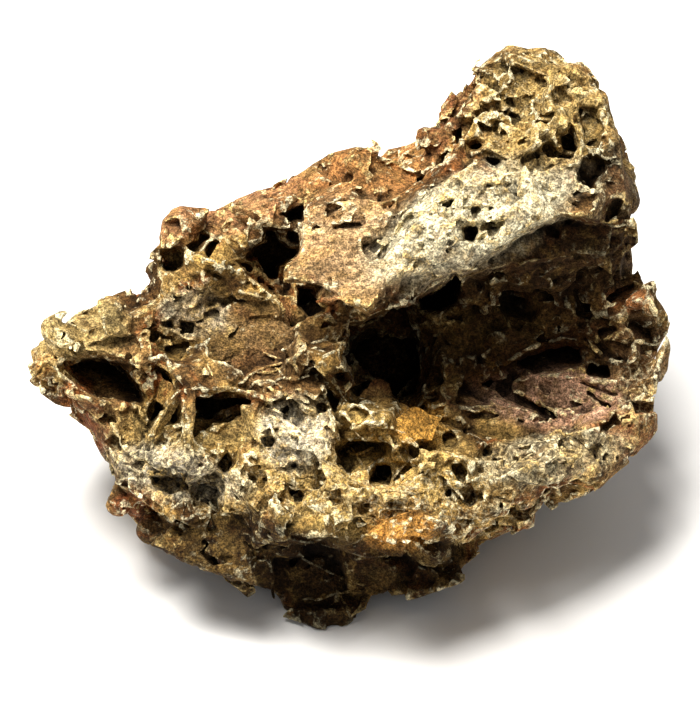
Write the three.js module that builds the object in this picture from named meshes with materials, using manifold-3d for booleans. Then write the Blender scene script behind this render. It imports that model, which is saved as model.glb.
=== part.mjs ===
// Aquascaping stone: one weathered lump of clay stone with a horn at the upper right, an overhanging
// brow across its show face, a deep recess under the brow, a prong at the left and angular hollows all over.
// Millimetres, +Z up. The origin is in the middle of the footprint, on the surface the stone stands on.
import * as THREE from "three";
import { mergeVertices } from "three/addons/utils/BufferGeometryUtils.js";
import { ConvexGeometry } from "three/addons/geometries/ConvexGeometry.js";
import { ImprovedNoise } from "three/addons/math/ImprovedNoise.js";
import Module from "manifold-3d";

// Driving dimensions
const FACE_LEAN = 40; // degrees the show face leans back from upright
const VIEW_DISTANCE = 700; // from the middle of the face to the point it is laid out from
const FACE_HEIGHT = 51; // middle of the show face above the footprint
const FRONT_BULGE = 34; // how far the front swells out of the outline's plane
const BACK_BULGE = 52; // and the back
const FULLNESS = 0.8; // below 1 the bulge is boxier than an ellipse
const CORE_DETAIL = 7; // subdivisions of the core
const BACK_BLEND = [0.05, 0.7]; // over this share of the depth the outline gives way to the smoother back
const SWELL_ROOM = 0.5; // a swell is whole from this share of the bulge on
const RIM_DEPTH = [2, 18]; // the skin's lumps grow over these depths, so that the outline stays
const LUMPS = [
  { size: 26, height: 4.0 },
  { size: 11, height: 1.8 },
]; // broad and fine lumps of the weathered skin
const SCOOP_DETAIL = 2; // subdivisions of a scoop
const SCOOP_FULLNESS = 0.8; // below 1 a scoop is boxier than an ellipsoid
const SCOOP_LUMPS = { often: 2.6, height: 0.14 }; // lumps of a scoop, for its own size
const CHUNK_RADIUS = [0.85, 1.25]; // nearest and farthest corner of an angular lump
const CHUNK_TURN = 0.5; // radians that a corner may stand off its even place
const CHUNK_ROLL = 3; // radians that a whole lump may be rolled
const MOUTH_SPREAD = 1.25; // angular lumps are cut this much wider than the mouth they leave
const CELL_HALF = 0.65; // half the height of a hollow's lump, for its depth
const CELL_SINK = 0.3; // how far its middle lies below the mouth, for its depth
const DISH_THICK = { depth: 1.6, height: 0.75 }; // least half height of a dish's lump, for its depth and its mouth
const HOLLOW_TURN = 0.5; // how far a hollow turns from the line of sight to the skin's normal
const DISH_TURN = 0.8; // and a dish
const CELL_CORNERS = 11; // corners of one angular hollow
const DISH_CORNERS = 13; // and of one broad dish
const FLAKE_CORNERS = 10; // and of one thin flake
const FACET = 0.5; // detail finer than this is smoothed away
const WELD = 1e-4; // corners closer than this are one corner
const CORNER_GAP = 0.15; // each of two corners that meet in a point is drawn back this far
const SEED = 41;

// Outline of the stone as the show face is seen, [right, up] from the middle of the face
const OUTLINE_CENTRE = [5, 2];
const OUTLINE = [
  [-81, -2], [-77, 6], [-72, 11], [-60, 14], [-54, 15], [-50, 19], [-50.5, 25], [-47, 29], [-46, 36],
  [-43, 38], [-36, 36.5], [-28, 39], [-15, 44], [-8, 48], [4, 54], [10, 50], [17, 50.5], [18.5, 55],
  [23, 60], [28, 66], [30, 74], [37, 77.5], [43, 78.5], [55, 75.5], [63, 66], [67, 59], [71, 50],
  [71.5, 40], [71, 33], [73, 26], [78, 14], [79.5, 6], [79, -1], [78, -12], [75, -19], [67, -28],
  [63, -33.5], [52, -38], [45, -42.5], [39, -46], [39, -49], [30, -52], [28, -56], [17, -59.5],
  [5, -62], [-3, -67.5], [-10, -67.5], [-18, -65], [-27, -59], [-37, -51], [-47, -47], [-52, -44],
  [-58, -38], [-60, -28], [-61, -22], [-68, -14], [-77, -10],
];
const BACK_SMOOTHING = 28; // degrees of outline that the back averages over

// Soft swells out of the face, or out of the back: place [right, up], reach and height
const SWELLS = [
  { at: [2, 17], reach: 13, out: 17 }, // low end of the brow
  { at: [18, 24], reach: 12, out: 17 },
  { at: [34, 30], reach: 12, out: 17 },
  { at: [52, 38], reach: 13, out: 15 }, // brow under the horn
  { at: [54, 60], reach: 14, out: 10 }, // face of the horn
  { at: [-12, -36], reach: 18, out: 14 }, // lip of the lower edge
  { at: [18, -36], reach: 16, out: 16 },
  { at: [44, -26], reach: 16, out: 16 }, // shelf at the right
  { at: [-45, -24], reach: 14, out: 10 },
  { at: [-64, 0], reach: 12, out: 10 }, // prong
  { at: [-38, 30], reach: 12, out: 8 }, // left shoulder
  { at: [42, 34], reach: 20, out: -14 }, // back of the horn
  { at: [-34, 8], reach: 18, out: -12 },
  { at: [12, -8], reach: 20, out: -10 },
  { at: [58, -6], reach: 14, out: -9 },
];

// Scoops that open the recess under the brow and undercut the stone: centre [right, up, out], half
// sizes and turn
const SCOOPS = [
  { at: [48, 2, 46], half: [44, 25, 44], turn: 14 },
  { at: [11, 0, 44], half: [13, 13, 48], turn: 20 },
  { at: [27, 13, 46], half: [16, 8, 40], turn: 25 },
  { at: [79, 26, 8], half: [13, 6, 28], turn: 24 },
  { at: [-4, -62, 50], half: [46, 20, 50], turn: 0 }, // below the lip
  { at: [46, -48, 40], half: [24, 14, 42], turn: 30 },
  { at: [-52, -48, 34], half: [28, 13, 40], turn: -34 },
  { at: [-10, 14, 46], half: [8, 9, 24], turn: 20 }, // dark wall under the brow's low end
  { at: [-30, 10, 44], half: [18, 11, 22], turn: 25 }, // slope between the shoulder and the prong
  { at: [-18, 66, -14], half: [28, 14, 20], turn: 22 }, // behind the shoulder
  { at: [-52, -30, -40], half: [26, 20, 22], turn: 10 },
  { at: [40, -20, -62], half: [26, 20, 18], turn: -30 },
  { at: [8, 40, -56], half: [20, 16, 16], turn: 40 },
];

// Broad shallow dishes of the show face: [right, up, half width, half height, turn, depth]
const DISHES = [
  [-25, 4, 12, 11, 20, 7], [-2, 28, 11, 9, 30, 4], [8, 41, 12, 6, 20, 4], [-30, 30, 10, 6, 15, 5],
  [-50, -18, 10, 7, -10, 8], [-33, -17, 9, 7, 0, 7], [-17, -29, 11, 7, 10, 5], [-44, 12, 8, 6, 20, 5],
  [41, 63, 9, 8, 30, 5], [61, 59, 6, 7, 20, 5], [54, 43, 9, 6, -20, 5], [33, 72, 6, 5, 0, 4],
  [24, 52, 6, 9, -40, 4], [66, 46, 5, 9, 0, 4], [34, 42, 9, 5, 20, 2.5], [17, 30, 9, 4, 45, 3],
  [36, -8, 9, 6, 10, 6], [54, -8, 10, 6, -20, 6], [50, -21, 9, 6, 0, 5], [62, -20, 7, 8, 30, 5],
  [36, -24, 8, 6, 30, 6], [20, -20, 9, 8, 0, 6], [4, -26, 10, 8, 0, 7], [30, -36, 8, 8, 0, 6],
  [12, -40, 9, 5, 10, 5], [0, 5, 6, 6, 0, 5], [15, 8, 7, 6, 20, 6], [17, -9, 7, 6, 0, 6], [3, -7, 6, 6, 0, 4],
  [-12, -40, 10, 4, 0, 4], [-36, -33, 11, 6, -20, 6], [-52, -32, 8, 6, -20, 5], [-13, -13, 7, 7, 0, 4],
  [-10, -56, 12, 8, 0, 5], [12, -54, 9, 6, 10, 4], [-34, -46, 12, 8, -35, 4], [36, -44, 9, 6, 30, 4],
  [-66, 8, 8, 5, 20, 4], [-72, -6, 6, 6, 0, 4], [-57, 6, 6, 4, 30, 4], [-10, 16, 6, 6, 0, 6],
  [44, 10, 11, 8, 20, 8], [60, 14, 8, 7, 10, 7], [26, 6, 8, 8, 0, 8], [70, -6, 6, 8, 0, 5],
  [68, 8, 6, 6, 0, 6],
];

// Hollows of the show face: [right, up, half width, half height, turn, depth]
const HOLLOWS = [
  [-60.5, -5.5, 12, 5.5, -8, 15], [-76, -7, 3, 2.5, 0, 3], // prong
  [-45.5, -5.5, 3, 5, 20, 10], [-47, -14, 3, 6, -25, 10], [-31, -12.5, 8.5, 3.5, 0, 12],
  [-47, -17, 8, 7, 10, 5], [-33, -19, 8, 5, 0, 5], // cells beside the prong
  [-47.5, 7, 2.5, 2, 0, 5], [-42, 8, 2.5, 2, 0, 5], [-38, 6, 2, 2.5, 0, 4], [-44, 2.5, 5, 2, 0, 4],
  [-44.5, 24, 3.5, 3.2, 0, 10], [-39, 28.5, 3, 2.5, 30, 6], [-33.5, 27, 4.6, 3.5, -20, 7],
  [-30.5, 32.5, 4.5, 2, 15, 4], [-19, 25.5, 7, 8.5, -25, 26], [-13.8, 36, 4.2, 3, 20, 9],
  [-12, 14, 4.5, 5, 0, 10], [-1, 33, 4, 1.4, 5, 5], // upper left
  [-28, 6, 9, 8, 20, 3], // smooth panel
  [10, 0, 9, 9, 0, 22], [21, 14.5, 6, 4, 15, 18], [-3, -6, 4.5, 3, 30, 8],
  [1, -9, 4, 3, -30, 8], // black heart
  [30.5, 53, 2, 1.7, 0, 5], [35, 50, 2.6, 1.4, -20, 5], [24, 38.5, 2.2, 2.6, 10, 4],
  [29, 32, 2.8, 2.4, 0, 8], [34.5, 32, 3, 2, 0, 6], [40, 43, 1.6, 1.2, 10, 4], [8, 30, 7, 2, 48, 4],
  [4.5, 28, 2.2, 2.2, 0, 4], // brow
  [42, 66, 6, 6, 30, 4], [31.5, 61.5, 1.6, 1.6, 0, 4], [36, 63, 2, 1.6, 0, 5], [40, 60, 2, 1.6, 0, 5],
  [34, 56, 2, 1.6, 0, 4], [55, 54.5, 3.4, 4, 10, 10], [49.5, 52, 2.2, 2.8, 30, 8],
  [44.5, 49.5, 3.2, 1.6, 30, 6], [61, 46.5, 3.6, 3.4, 0, 8], [66.5, 38.5, 3.2, 2.8, 0, 7],
  [27, 57.5, 2, 2.6, -20, 6], [31, 68, 2, 3, 0, 5], [52, 70, 4, 3, 30, 4], [61, 58, 3, 5, 20, 3], // horn
  [68, 25, 4, 3.2, 0, 8], [68, 16.5, 5, 2.8, 30, 9], [72.5, 9.5, 4, 3.6, 0, 9], [75, 3, 3, 2, 0, 7],
  [64, -2, 4, 3, 0, 9], [49, 2, 9.5, 3, 20, 10], [62, 5, 4, 4, 0, 4], [48, -12, 8, 1.6, -32, 8],
  [65.5, -17, 2.6, 2.6, 0, 7], [38, -7, 5, 2, 10, 6], // right side
  [0, -24, 4.8, 4.8, 0, 14], [9, -26.5, 3.4, 5, 0, 14], [15, -22, 3.6, 3, 0, 9], [26, -28, 2.6, 2.6, 0, 7],
  [24, -33, 2, 2, 0, 7], [-20, -20.5, 2, 1.5, 0, 5], [-30.5, -26, 3, 3, 20, 8], [-45, -30.5, 5.5, 3, 0, 9],
  [-36, -33, 4.6, 4, 20, 9], [-30, -39, 2.6, 2.6, 0, 7], [-16, -29, 8, 4, 10, 5], [-4, -35.5, 2.6, 1.2, 0, 6],
  [-15, -13, 1.2, 2.2, 0, 5], [-8, -12, 1.6, 1.6, 0, 4], [-5, -11, 2.6, 5, 20, 9], [3, -19, 2.2, 2, 0, 5],
  [31, -18, 2, 1.4, 0, 5], [10, -40, 3, 1.4, 0, 4], // lower middle
];

// Thin blades of stone left standing in the hollows: ends [right, up] as seen, thickness and height
const BLADES = [
  { from: [-50, -2], to: [-51, -21], thick: 1.0, height: 12 },
  { from: [-43, -8.5], to: [-50.5, -22], thick: 1.0, height: 11 },
  { from: [-40, -7], to: [-40, -20], thick: 2.2, height: 12 },
  { from: [-5, -3.5], to: [4, -11], thick: 0.9, height: 8 },
  { from: [4.5, -7], to: [-1, -10.5], thick: 0.9, height: 8 },
];
const BLADE_OVERLAP = 1.1; // a blade runs on into the walls at its ends
const BLADE_SPLITS = [4, 1, 3]; // parts along, through and up a blade
const BLADE_RAGGED = 0.8; // how uneven its edges are
const BLADE_WAVY = 0.2; // and its sides
const BLADE_SUNK = 0.6; // how far its edge stays below the skin

// Ragged flakes that stand out of the show face: place [right, up], half sizes, turn and tilt in degrees
const FLAKES = [
  { at: [17, -17], half: [6, 4.5], turn: 20, tilt: 35 },
  { at: [7, -10], half: [4, 4], turn: 60, tilt: 45 },
  { at: [12, -44], half: [6, 3], turn: -10, tilt: 50 },
  { at: [38, -36], half: [4, 5], turn: 70, tilt: 40 },
  { at: [-4, 3], half: [4, 3], turn: 0, tilt: 60 },
  { at: [-56, 12], half: [4, 2.5], turn: 30, tilt: 40 },
  { at: [66, 5], half: [4, 3.5], turn: 20, tilt: 40 },
  { at: [-3, -45], half: [4, 2.5], turn: 0, tilt: 55 },
];
const FLAKE_THICKNESS = 1.1;
const FLAKE_ROOT = 0.3; // how far a flake is set back, for its half height

// Dishes and hollows of the sides and the back, spread evenly and varied at random: how many, half width,
// height for that width, depth, and how far they may face the front
const SPREAD_DISHES = { count: 124, half: [8, 15], narrow: [0.6, 1], depth: [3, 8], facing: 0.55 };
const SPREAD_HOLLOWS = { count: 46, half: [2.6, 6.5], narrow: [0.55, 1], depth: [8, 15], facing: 0.4 };
const FOOT_HEIGHT = 14; // no hollows in the underside below this
const GOLDEN_TURN = Math.PI * (3 - Math.sqrt(5));
const GROUND = { width: 400, depth: 200 }; // block that cuts the foot level

const random = (() => {
  THREE.MathUtils.seededRandom(SEED);
  return (low, high) => THREE.MathUtils.lerp(low, high, THREE.MathUtils.seededRandom());
})();
const noise = new ImprovedNoise();
const wasm = await Module();
wasm.setup();

// Axes of the show face: right, up the face, and out of it
const lean = THREE.MathUtils.degToRad(FACE_LEAN);
const RIGHT = new THREE.Vector3(1, 0, 0);
const UP = new THREE.Vector3(0, Math.sin(lean), Math.cos(lean));
const OUT = new THREE.Vector3(0, -Math.cos(lean), Math.sin(lean));
const FACE = new THREE.Matrix4().makeBasis(RIGHT, UP, OUT).setPosition(0, 0, FACE_HEIGHT);
const EYE = new THREE.Vector3(0, 0, VIEW_DISTANCE).applyMatrix4(FACE);

function solidFrom(geometry) {
  const bare = geometry.clone();
  bare.deleteAttribute("normal");
  bare.deleteAttribute("uv");
  const merged = mergeVertices(bare, WELD);
  const mesh = new wasm.Mesh({
    numProp: 3,
    vertProperties: new Float32Array(merged.attributes.position.array),
    triVerts: new Uint32Array(merged.index.array),
  });
  return new wasm.Manifold(mesh);
}

function geometryFrom(solid) {
  const mesh = solid.getMesh();
  const geometry = new THREE.BufferGeometry();
  geometry.setAttribute("position", new THREE.BufferAttribute(new Float32Array(mesh.vertProperties), 3));
  geometry.setIndex(new THREE.BufferAttribute(new Uint32Array(mesh.triVerts), 1));
  geometry.computeVertexNormals();
  return geometry;
}

function moveVertices(geometry, change) {
  const position = geometry.attributes.position;
  const point = new THREE.Vector3();
  for (let i = 0; i < position.count; i++) {
    point.fromBufferAttribute(position, i);
    change(point);
    position.setXYZ(i, point.x, point.y, point.z);
  }
  return geometry;
}

// Draws corners that meet in one point back, each into its own side of the stone
function partCorners(geometry) {
  const { position, normal } = geometry.attributes;
  const meeting = new Map();
  for (let i = 0; i < position.count; i++) {
    const key = [position.getX(i), position.getY(i), position.getZ(i)].map((x) => x.toFixed(3)).join();
    meeting.set(key, [...(meeting.get(key) ?? []), i]);
  }
  const point = new THREE.Vector3();
  const outward = new THREE.Vector3();
  for (const corners of meeting.values()) {
    if (corners.length === 1) continue;
    for (const i of corners) {
      outward.fromBufferAttribute(normal, i);
      point.fromBufferAttribute(position, i).addScaledVector(outward, -CORNER_GAP);
      position.setXYZ(i, point.x, point.y, point.z);
    }
  }
  return geometry;
}

// Distance from the outline's centre to its edge, by angle
const polar = OUTLINE.map(([right, up]) => {
  const dx = right - OUTLINE_CENTRE[0];
  const dy = up - OUTLINE_CENTRE[1];
  return { angle: Math.atan2(dy, dx), radius: Math.hypot(dx, dy) };
}).sort((a, b) => a.angle - b.angle);

function outlineRadius(angle) {
  const turn = 2 * Math.PI;
  const wrapped = THREE.MathUtils.euclideanModulo(angle + Math.PI, turn) - Math.PI;
  const after = polar.findIndex((p) => p.angle > wrapped);
  const next = polar[after < 0 ? 0 : after];
  const last = polar[after <= 0 ? polar.length - 1 : after - 1];
  const span = THREE.MathUtils.euclideanModulo(next.angle - last.angle, turn);
  const share = THREE.MathUtils.euclideanModulo(wrapped - last.angle, turn) / span;
  return THREE.MathUtils.lerp(last.radius, next.radius, share);
}

function smoothRadius(angle) {
  const steps = 9;
  const reach = THREE.MathUtils.degToRad(BACK_SMOOTHING);
  let sum = 0;
  for (let i = 0; i < steps; i++) sum += outlineRadius(angle + reach * ((2 * i) / (steps - 1) - 1));
  return sum / steps;
}

function weathering(point) {
  return LUMPS.reduce(
    (sum, { size, height }) => sum + height * noise.noise(point.x / size, point.y / size, point.z / size),
    0,
  );
}

// The core: the outline swollen to the front and the back, with its swells
function core() {
  const ball = new THREE.IcosahedronGeometry(1, CORE_DETAIL);
  moveVertices(ball, (p) => {
    const angle = Math.atan2(p.y, p.x);
    const back = THREE.MathUtils.smoothstep(-p.z, ...BACK_BLEND);
    const radius = THREE.MathUtils.lerp(outlineRadius(angle), smoothRadius(angle), back);
    const flat = Math.hypot(p.x, p.y);
    const fill = Math.pow(flat, FULLNESS) / (flat || 1);
    const bulge = p.z > 0 ? FRONT_BULGE : BACK_BULGE;
    const depth = Math.sign(p.z) * Math.pow(Math.abs(p.z), FULLNESS) * bulge;
    p.set(OUTLINE_CENTRE[0] + p.x * fill * radius, OUTLINE_CENTRE[1] + p.y * fill * radius, depth);
    for (const { at, reach, out } of SWELLS) {
      const away = Math.hypot(p.x - at[0], p.y - at[1]) / reach;
      const facing = THREE.MathUtils.smoothstep(depth * Math.sign(out), 0, bulge * SWELL_ROOM);
      p.z += facing * out * Math.exp(-away * away);
    }
    const inside = THREE.MathUtils.smoothstep(Math.abs(depth), ...RIM_DEPTH);
    const outward = new THREE.Vector3(p.x - OUTLINE_CENTRE[0], p.y - OUTLINE_CENTRE[1], p.z).normalize();
    p.addScaledVector(outward, weathering(p) * inside);
  });
  return solidFrom(ball.applyMatrix4(FACE));
}

function scoop({ at, half, turn }) {
  const { often, height } = SCOOP_LUMPS;
  const ball = new THREE.IcosahedronGeometry(1, SCOOP_DETAIL);
  moveVertices(ball, (p) => {
    const boxy = (x) => Math.sign(x) * Math.pow(Math.abs(x), SCOOP_FULLNESS);
    const lump = 1 + height * noise.noise(p.x * often + at[0], p.y * often + at[1], p.z * often);
    p.set(boxy(p.x), boxy(p.y), boxy(p.z)).multiplyScalar(lump);
  });
  const place = new THREE.Matrix4().makeRotationZ(THREE.MathUtils.degToRad(turn)).setPosition(...at);
  ball.scale(...half).applyMatrix4(place).applyMatrix4(FACE);
  return solidFrom(ball);
}

// Where the line from the eye through a place on the face meets the stone, and the stone's normal there
const ray = new THREE.Raycaster();
function seat(mesh, right, up) {
  const aim = new THREE.Vector3(right, up, 0).applyMatrix4(FACE).sub(EYE).normalize();
  ray.set(EYE, aim);
  const hit = ray.intersectObject(mesh)[0];
  if (!hit) throw new Error(`no stone at ${right}, ${up}`);
  return { point: hit.point, normal: hit.face.normal, aim };
}

// Places all round the stone, from lines that run in towards its middle
function spread(mesh, count, phase) {
  const middle = new THREE.Vector3(OUTLINE_CENTRE[0], 0, FACE_HEIGHT);
  const places = [];
  for (let i = 0; i < count; i++) {
    const z = 1 - (2 * (i + 0.5)) / count;
    const flat = Math.sqrt(1 - z * z);
    const turn = i * GOLDEN_TURN + phase;
    const away = new THREE.Vector3(flat * Math.cos(turn), flat * Math.sin(turn), z);
    ray.set(middle.clone().addScaledVector(away, VIEW_DISTANCE), away.negate());
    const hit = ray.intersectObject(mesh)[0];
    if (hit) places.push({ point: hit.point, normal: hit.face.normal });
  }
  return places;
}

// An irregular angular lump about as big as a ball of radius 1
function chunk(corners) {
  const points = [];
  for (let i = 0; i < corners; i++) {
    const z = 1 - (2 * (i + 0.5)) / corners;
    const flat = Math.sqrt(1 - z * z);
    const turn = i * GOLDEN_TURN + random(-CHUNK_TURN, CHUNK_TURN);
    const radius = random(...CHUNK_RADIUS);
    points.push(new THREE.Vector3(flat * Math.cos(turn), flat * Math.sin(turn), z).multiplyScalar(radius));
  }
  return new ConvexGeometry(points).rotateX(random(0, CHUNK_ROLL)).rotateY(random(0, CHUNK_ROLL));
}

// An angular cell, its mouth at the origin in the XY plane and its depth along -Z
function cell(halfWidth, halfHeight, depth) {
  return chunk(CELL_CORNERS)
    .scale(halfWidth * MOUTH_SPREAD, halfHeight * MOUTH_SPREAD, depth * CELL_HALF)
    .translate(0, 0, -depth * CELL_SINK);
}

function stand(geometry, point, outward, turn) {
  const side = new THREE.Vector3().crossVectors(UP, outward).normalize();
  const along = new THREE.Vector3().crossVectors(outward, side);
  const frame = new THREE.Matrix4().makeBasis(side, along, outward).setPosition(point);
  const turned = new THREE.Matrix4().makeRotationZ(THREE.MathUtils.degToRad(turn));
  return geometry.applyMatrix4(turned).applyMatrix4(frame);
}

function faceHollow(mesh, [right, up, halfWidth, halfHeight, turn, depth]) {
  const { point, normal, aim } = seat(mesh, right, up);
  const outward = normal.clone().multiplyScalar(HOLLOW_TURN).sub(aim).normalize();
  return solidFrom(stand(cell(halfWidth, halfHeight, depth), point, outward, turn));
}

// A broad angular scrape, its mouth at the origin in the XY plane and its depth along -Z
function dish(halfWidth, halfHeight, depth) {
  const thick = Math.max(depth * DISH_THICK.depth, halfHeight * DISH_THICK.height);
  return chunk(DISH_CORNERS)
    .scale(halfWidth * MOUTH_SPREAD, halfHeight * MOUTH_SPREAD, thick)
    .translate(0, 0, thick - depth);
}

function faceDish(mesh, [right, up, halfWidth, halfHeight, turn, depth]) {
  const { point, normal, aim } = seat(mesh, right, up);
  const outward = normal.clone().multiplyScalar(DISH_TURN).sub(aim).normalize();
  return solidFrom(stand(dish(halfWidth, halfHeight, depth), point, outward, turn));
}

function spreadDish({ point, normal }, { half, narrow, depth }) {
  const width = random(...half);
  const scrape = dish(width, width * random(...narrow), random(...depth));
  return solidFrom(stand(scrape, point, normal, random(0, 360)));
}

function spreadHollow({ point, normal }, { half, narrow, depth }) {
  const width = random(...half);
  const hole = cell(width, width * random(...narrow), random(...depth));
  return solidFrom(stand(hole, point, normal, random(0, 360)));
}

function blade(mesh, { from, to, thick, height }) {
  const a = seat(mesh, ...from);
  const b = seat(mesh, ...to);
  const along = new THREE.Vector3().subVectors(b.point, a.point);
  const length = along.length();
  const plate = new THREE.BoxGeometry(length * BLADE_OVERLAP, thick, height, ...BLADE_SPLITS);
  plate.deleteAttribute("normal");
  plate.deleteAttribute("uv");
  const whole = mergeVertices(plate, WELD);
  moveVertices(whole, (p) => {
    p.z += random(-BLADE_RAGGED, BLADE_RAGGED);
    p.y += random(-BLADE_WAVY, BLADE_WAVY);
  });
  whole.translate(0, 0, -height / 2 - BLADE_SUNK);
  const x = along.normalize();
  const z = a.aim.clone().negate();
  const y = new THREE.Vector3().crossVectors(z, x).normalize();
  z.crossVectors(x, y);
  const middle = new THREE.Vector3().addVectors(a.point, b.point).multiplyScalar(0.5);
  whole.applyMatrix4(new THREE.Matrix4().makeBasis(x, y, z).setPosition(middle));
  return solidFrom(whole);
}

function flake(mesh, { at, half, turn, tilt }) {
  const { point, normal } = seat(mesh, ...at);
  const plate = chunk(FLAKE_CORNERS)
    .scale(half[0], half[1], FLAKE_THICKNESS)
    .translate(0, -half[1] * FLAKE_ROOT, 0)
    .rotateX(THREE.MathUtils.degToRad(tilt));
  return solidFrom(stand(plate, point, normal, turn));
}

// Cutting and joining whole lists of solids
const cut = (solid, tools) => tools.reduce((rest, tool) => rest.subtract(tool), solid);
const join = (solid, pieces) => pieces.reduce((sum, piece) => sum.add(piece), solid);
const meshOf = (solid) => new THREE.Mesh(geometryFrom(solid));
const larger = (a, b) => (a.volume() > b.volume() ? a : b);

// The body, its dishes, then its hollows, each seated on what is there before it
const body = cut(core(), SCOOPS.map(scoop));
const bodyMesh = meshOf(body);
const offFace = spread(bodyMesh, SPREAD_DISHES.count, 0).filter(
  ({ normal }) => normal.dot(OUT) < SPREAD_DISHES.facing,
);
const dishes = [
  ...DISHES.map((row) => faceDish(bodyMesh, row)),
  ...offFace.map((place) => spreadDish(place, SPREAD_DISHES)),
];
const dished = cut(body, dishes);
const dishedMesh = meshOf(dished);
const open = ({ point, normal }) =>
  normal.dot(OUT) < SPREAD_HOLLOWS.facing && (point.z > FOOT_HEIGHT || normal.z > 0);
const hollows = [
  ...HOLLOWS.map((row) => faceHollow(dishedMesh, row)),
  ...spread(dishedMesh, SPREAD_HOLLOWS.count, 1)
    .filter(open)
    .map((place) => spreadHollow(place, SPREAD_HOLLOWS)),
];
const standing = [
  ...BLADES.map((row) => blade(bodyMesh, row)),
  ...FLAKES.map((row) => flake(dishedMesh, row)),
];
const ground = new THREE.BoxGeometry(GROUND.width, GROUND.width, GROUND.depth).translate(0, 0, -GROUND.depth / 2);
const shaped = join(cut(dished, hollows), standing).subtract(solidFrom(ground));
const stone = shaped.asOriginal().simplify(FACET).decompose().reduce(larger);

// The origin goes to the middle of the footprint's box
const geometry = partCorners(geometryFrom(stone));
geometry.computeBoundingBox();
const middle = geometry.boundingBox.getCenter(new THREE.Vector3());
geometry.translate(-middle.x, -middle.y, 0);

const clay = new THREE.MeshStandardMaterial({ color: 0x8a6a42, roughness: 0.95, metalness: 0 });
const mesh = new THREE.Mesh(geometry, clay);
mesh.name = "stone";
const group = new THREE.Group();
group.add(mesh);
export default group;
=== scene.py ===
"""Weathers the solid of a porous clay stone for a planted tank, and gives it its finish and stage."""

import math
from concurrent.futures import ThreadPoolExecutor

import bmesh
import bpy
import numpy as np
import openvdb
from bpy.props import FloatProperty, FloatVectorProperty, PointerProperty
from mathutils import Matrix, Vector
from mathutils.bvhtree import BVHTree


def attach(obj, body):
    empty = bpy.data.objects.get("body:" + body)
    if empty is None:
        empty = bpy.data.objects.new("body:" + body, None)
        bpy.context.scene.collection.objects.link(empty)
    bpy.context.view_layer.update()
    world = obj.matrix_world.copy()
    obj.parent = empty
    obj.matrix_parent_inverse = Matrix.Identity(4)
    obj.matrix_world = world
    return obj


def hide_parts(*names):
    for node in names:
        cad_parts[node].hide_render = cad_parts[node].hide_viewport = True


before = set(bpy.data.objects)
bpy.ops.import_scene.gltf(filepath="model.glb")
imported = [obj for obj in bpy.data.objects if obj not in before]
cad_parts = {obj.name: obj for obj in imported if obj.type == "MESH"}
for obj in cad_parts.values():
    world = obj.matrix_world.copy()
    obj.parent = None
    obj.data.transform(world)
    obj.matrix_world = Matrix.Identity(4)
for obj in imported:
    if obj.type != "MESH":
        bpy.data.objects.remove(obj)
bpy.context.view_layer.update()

bl_info = {
    "name": "Aquascaping Rock",
    "version": (1, 0, 0),
    "blender": (4, 5, 0),
    "location": "View3D > Sidebar > Rock",
    "description": "Weathers the solid of a porous clay stone and gives it its finish and stage",
    "category": "Object",
}

NODE = "stone"
PIECE = "weathered_stone"
BODY = "root"
FINISH = "clay_stone"
MM = 0.001
FAR = 1e9
TINY = 1e-6

# The show face leans back from upright, and is laid out from a point in front of it, in millimetres
FACE_LEAN = math.radians(40)
FACE_MIDDLE = np.array([0.09, -1.78, 51.0])
VIEW_DISTANCE = 700.0
FACE_AXES = np.array(
    [
        [1, 0, 0],
        [0, math.sin(FACE_LEAN), math.cos(FACE_LEAN)],
        [0, -math.cos(FACE_LEAN), math.sin(FACE_LEAN)],
    ]
)
PICTURE_HEIGHT = 179.0

# The show face is laid out in steps of a quarter millimetre, counted across and down from a corner
LAYOUT_STEP = 0.25
LAYOUT_MIDDLE = (350, 358)

# How far back the show face goes, where its panels fade towards the back, and how they fade at their edges
FACE_BACK = -30
FACE_FADE = (-50, -38)
PANEL_FADE = (0.8, 1.25)

# Edges of the plain solid are split at these lengths, in metres, and it is warped, but not at its foot
COPY_EDGES = (0.012, 0.006, 0.004, 0.003)
WARP_LUMPS = [(14.0, 1.4), (5.0, 0.5)]
WARP_FOOT = 6
WARP_SEED = 31

# The block of space round the stone: depth of the deepest cut, voxels round it and voxels known outside it
DEEPEST_CUT = 16.0
BLOCK_MARGIN = 14
OUTER_BAND = 4

# The skin is looked for from this far out of the show face to as far behind it, in steps
SKIN_REACH = 70
SKIN_STEP = 0.5

# Distances from the skin between which each kind of weathering works, and a cut that takes nothing away
FACE_BAND = (-15.9, 2.2)
CHIP_BAND = (-3.0, 2.0)
PORE_BAND = (-2.4, 1.0)
LUMP_BAND = (-3.0, 2.2)
NO_CUT = -9

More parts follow.
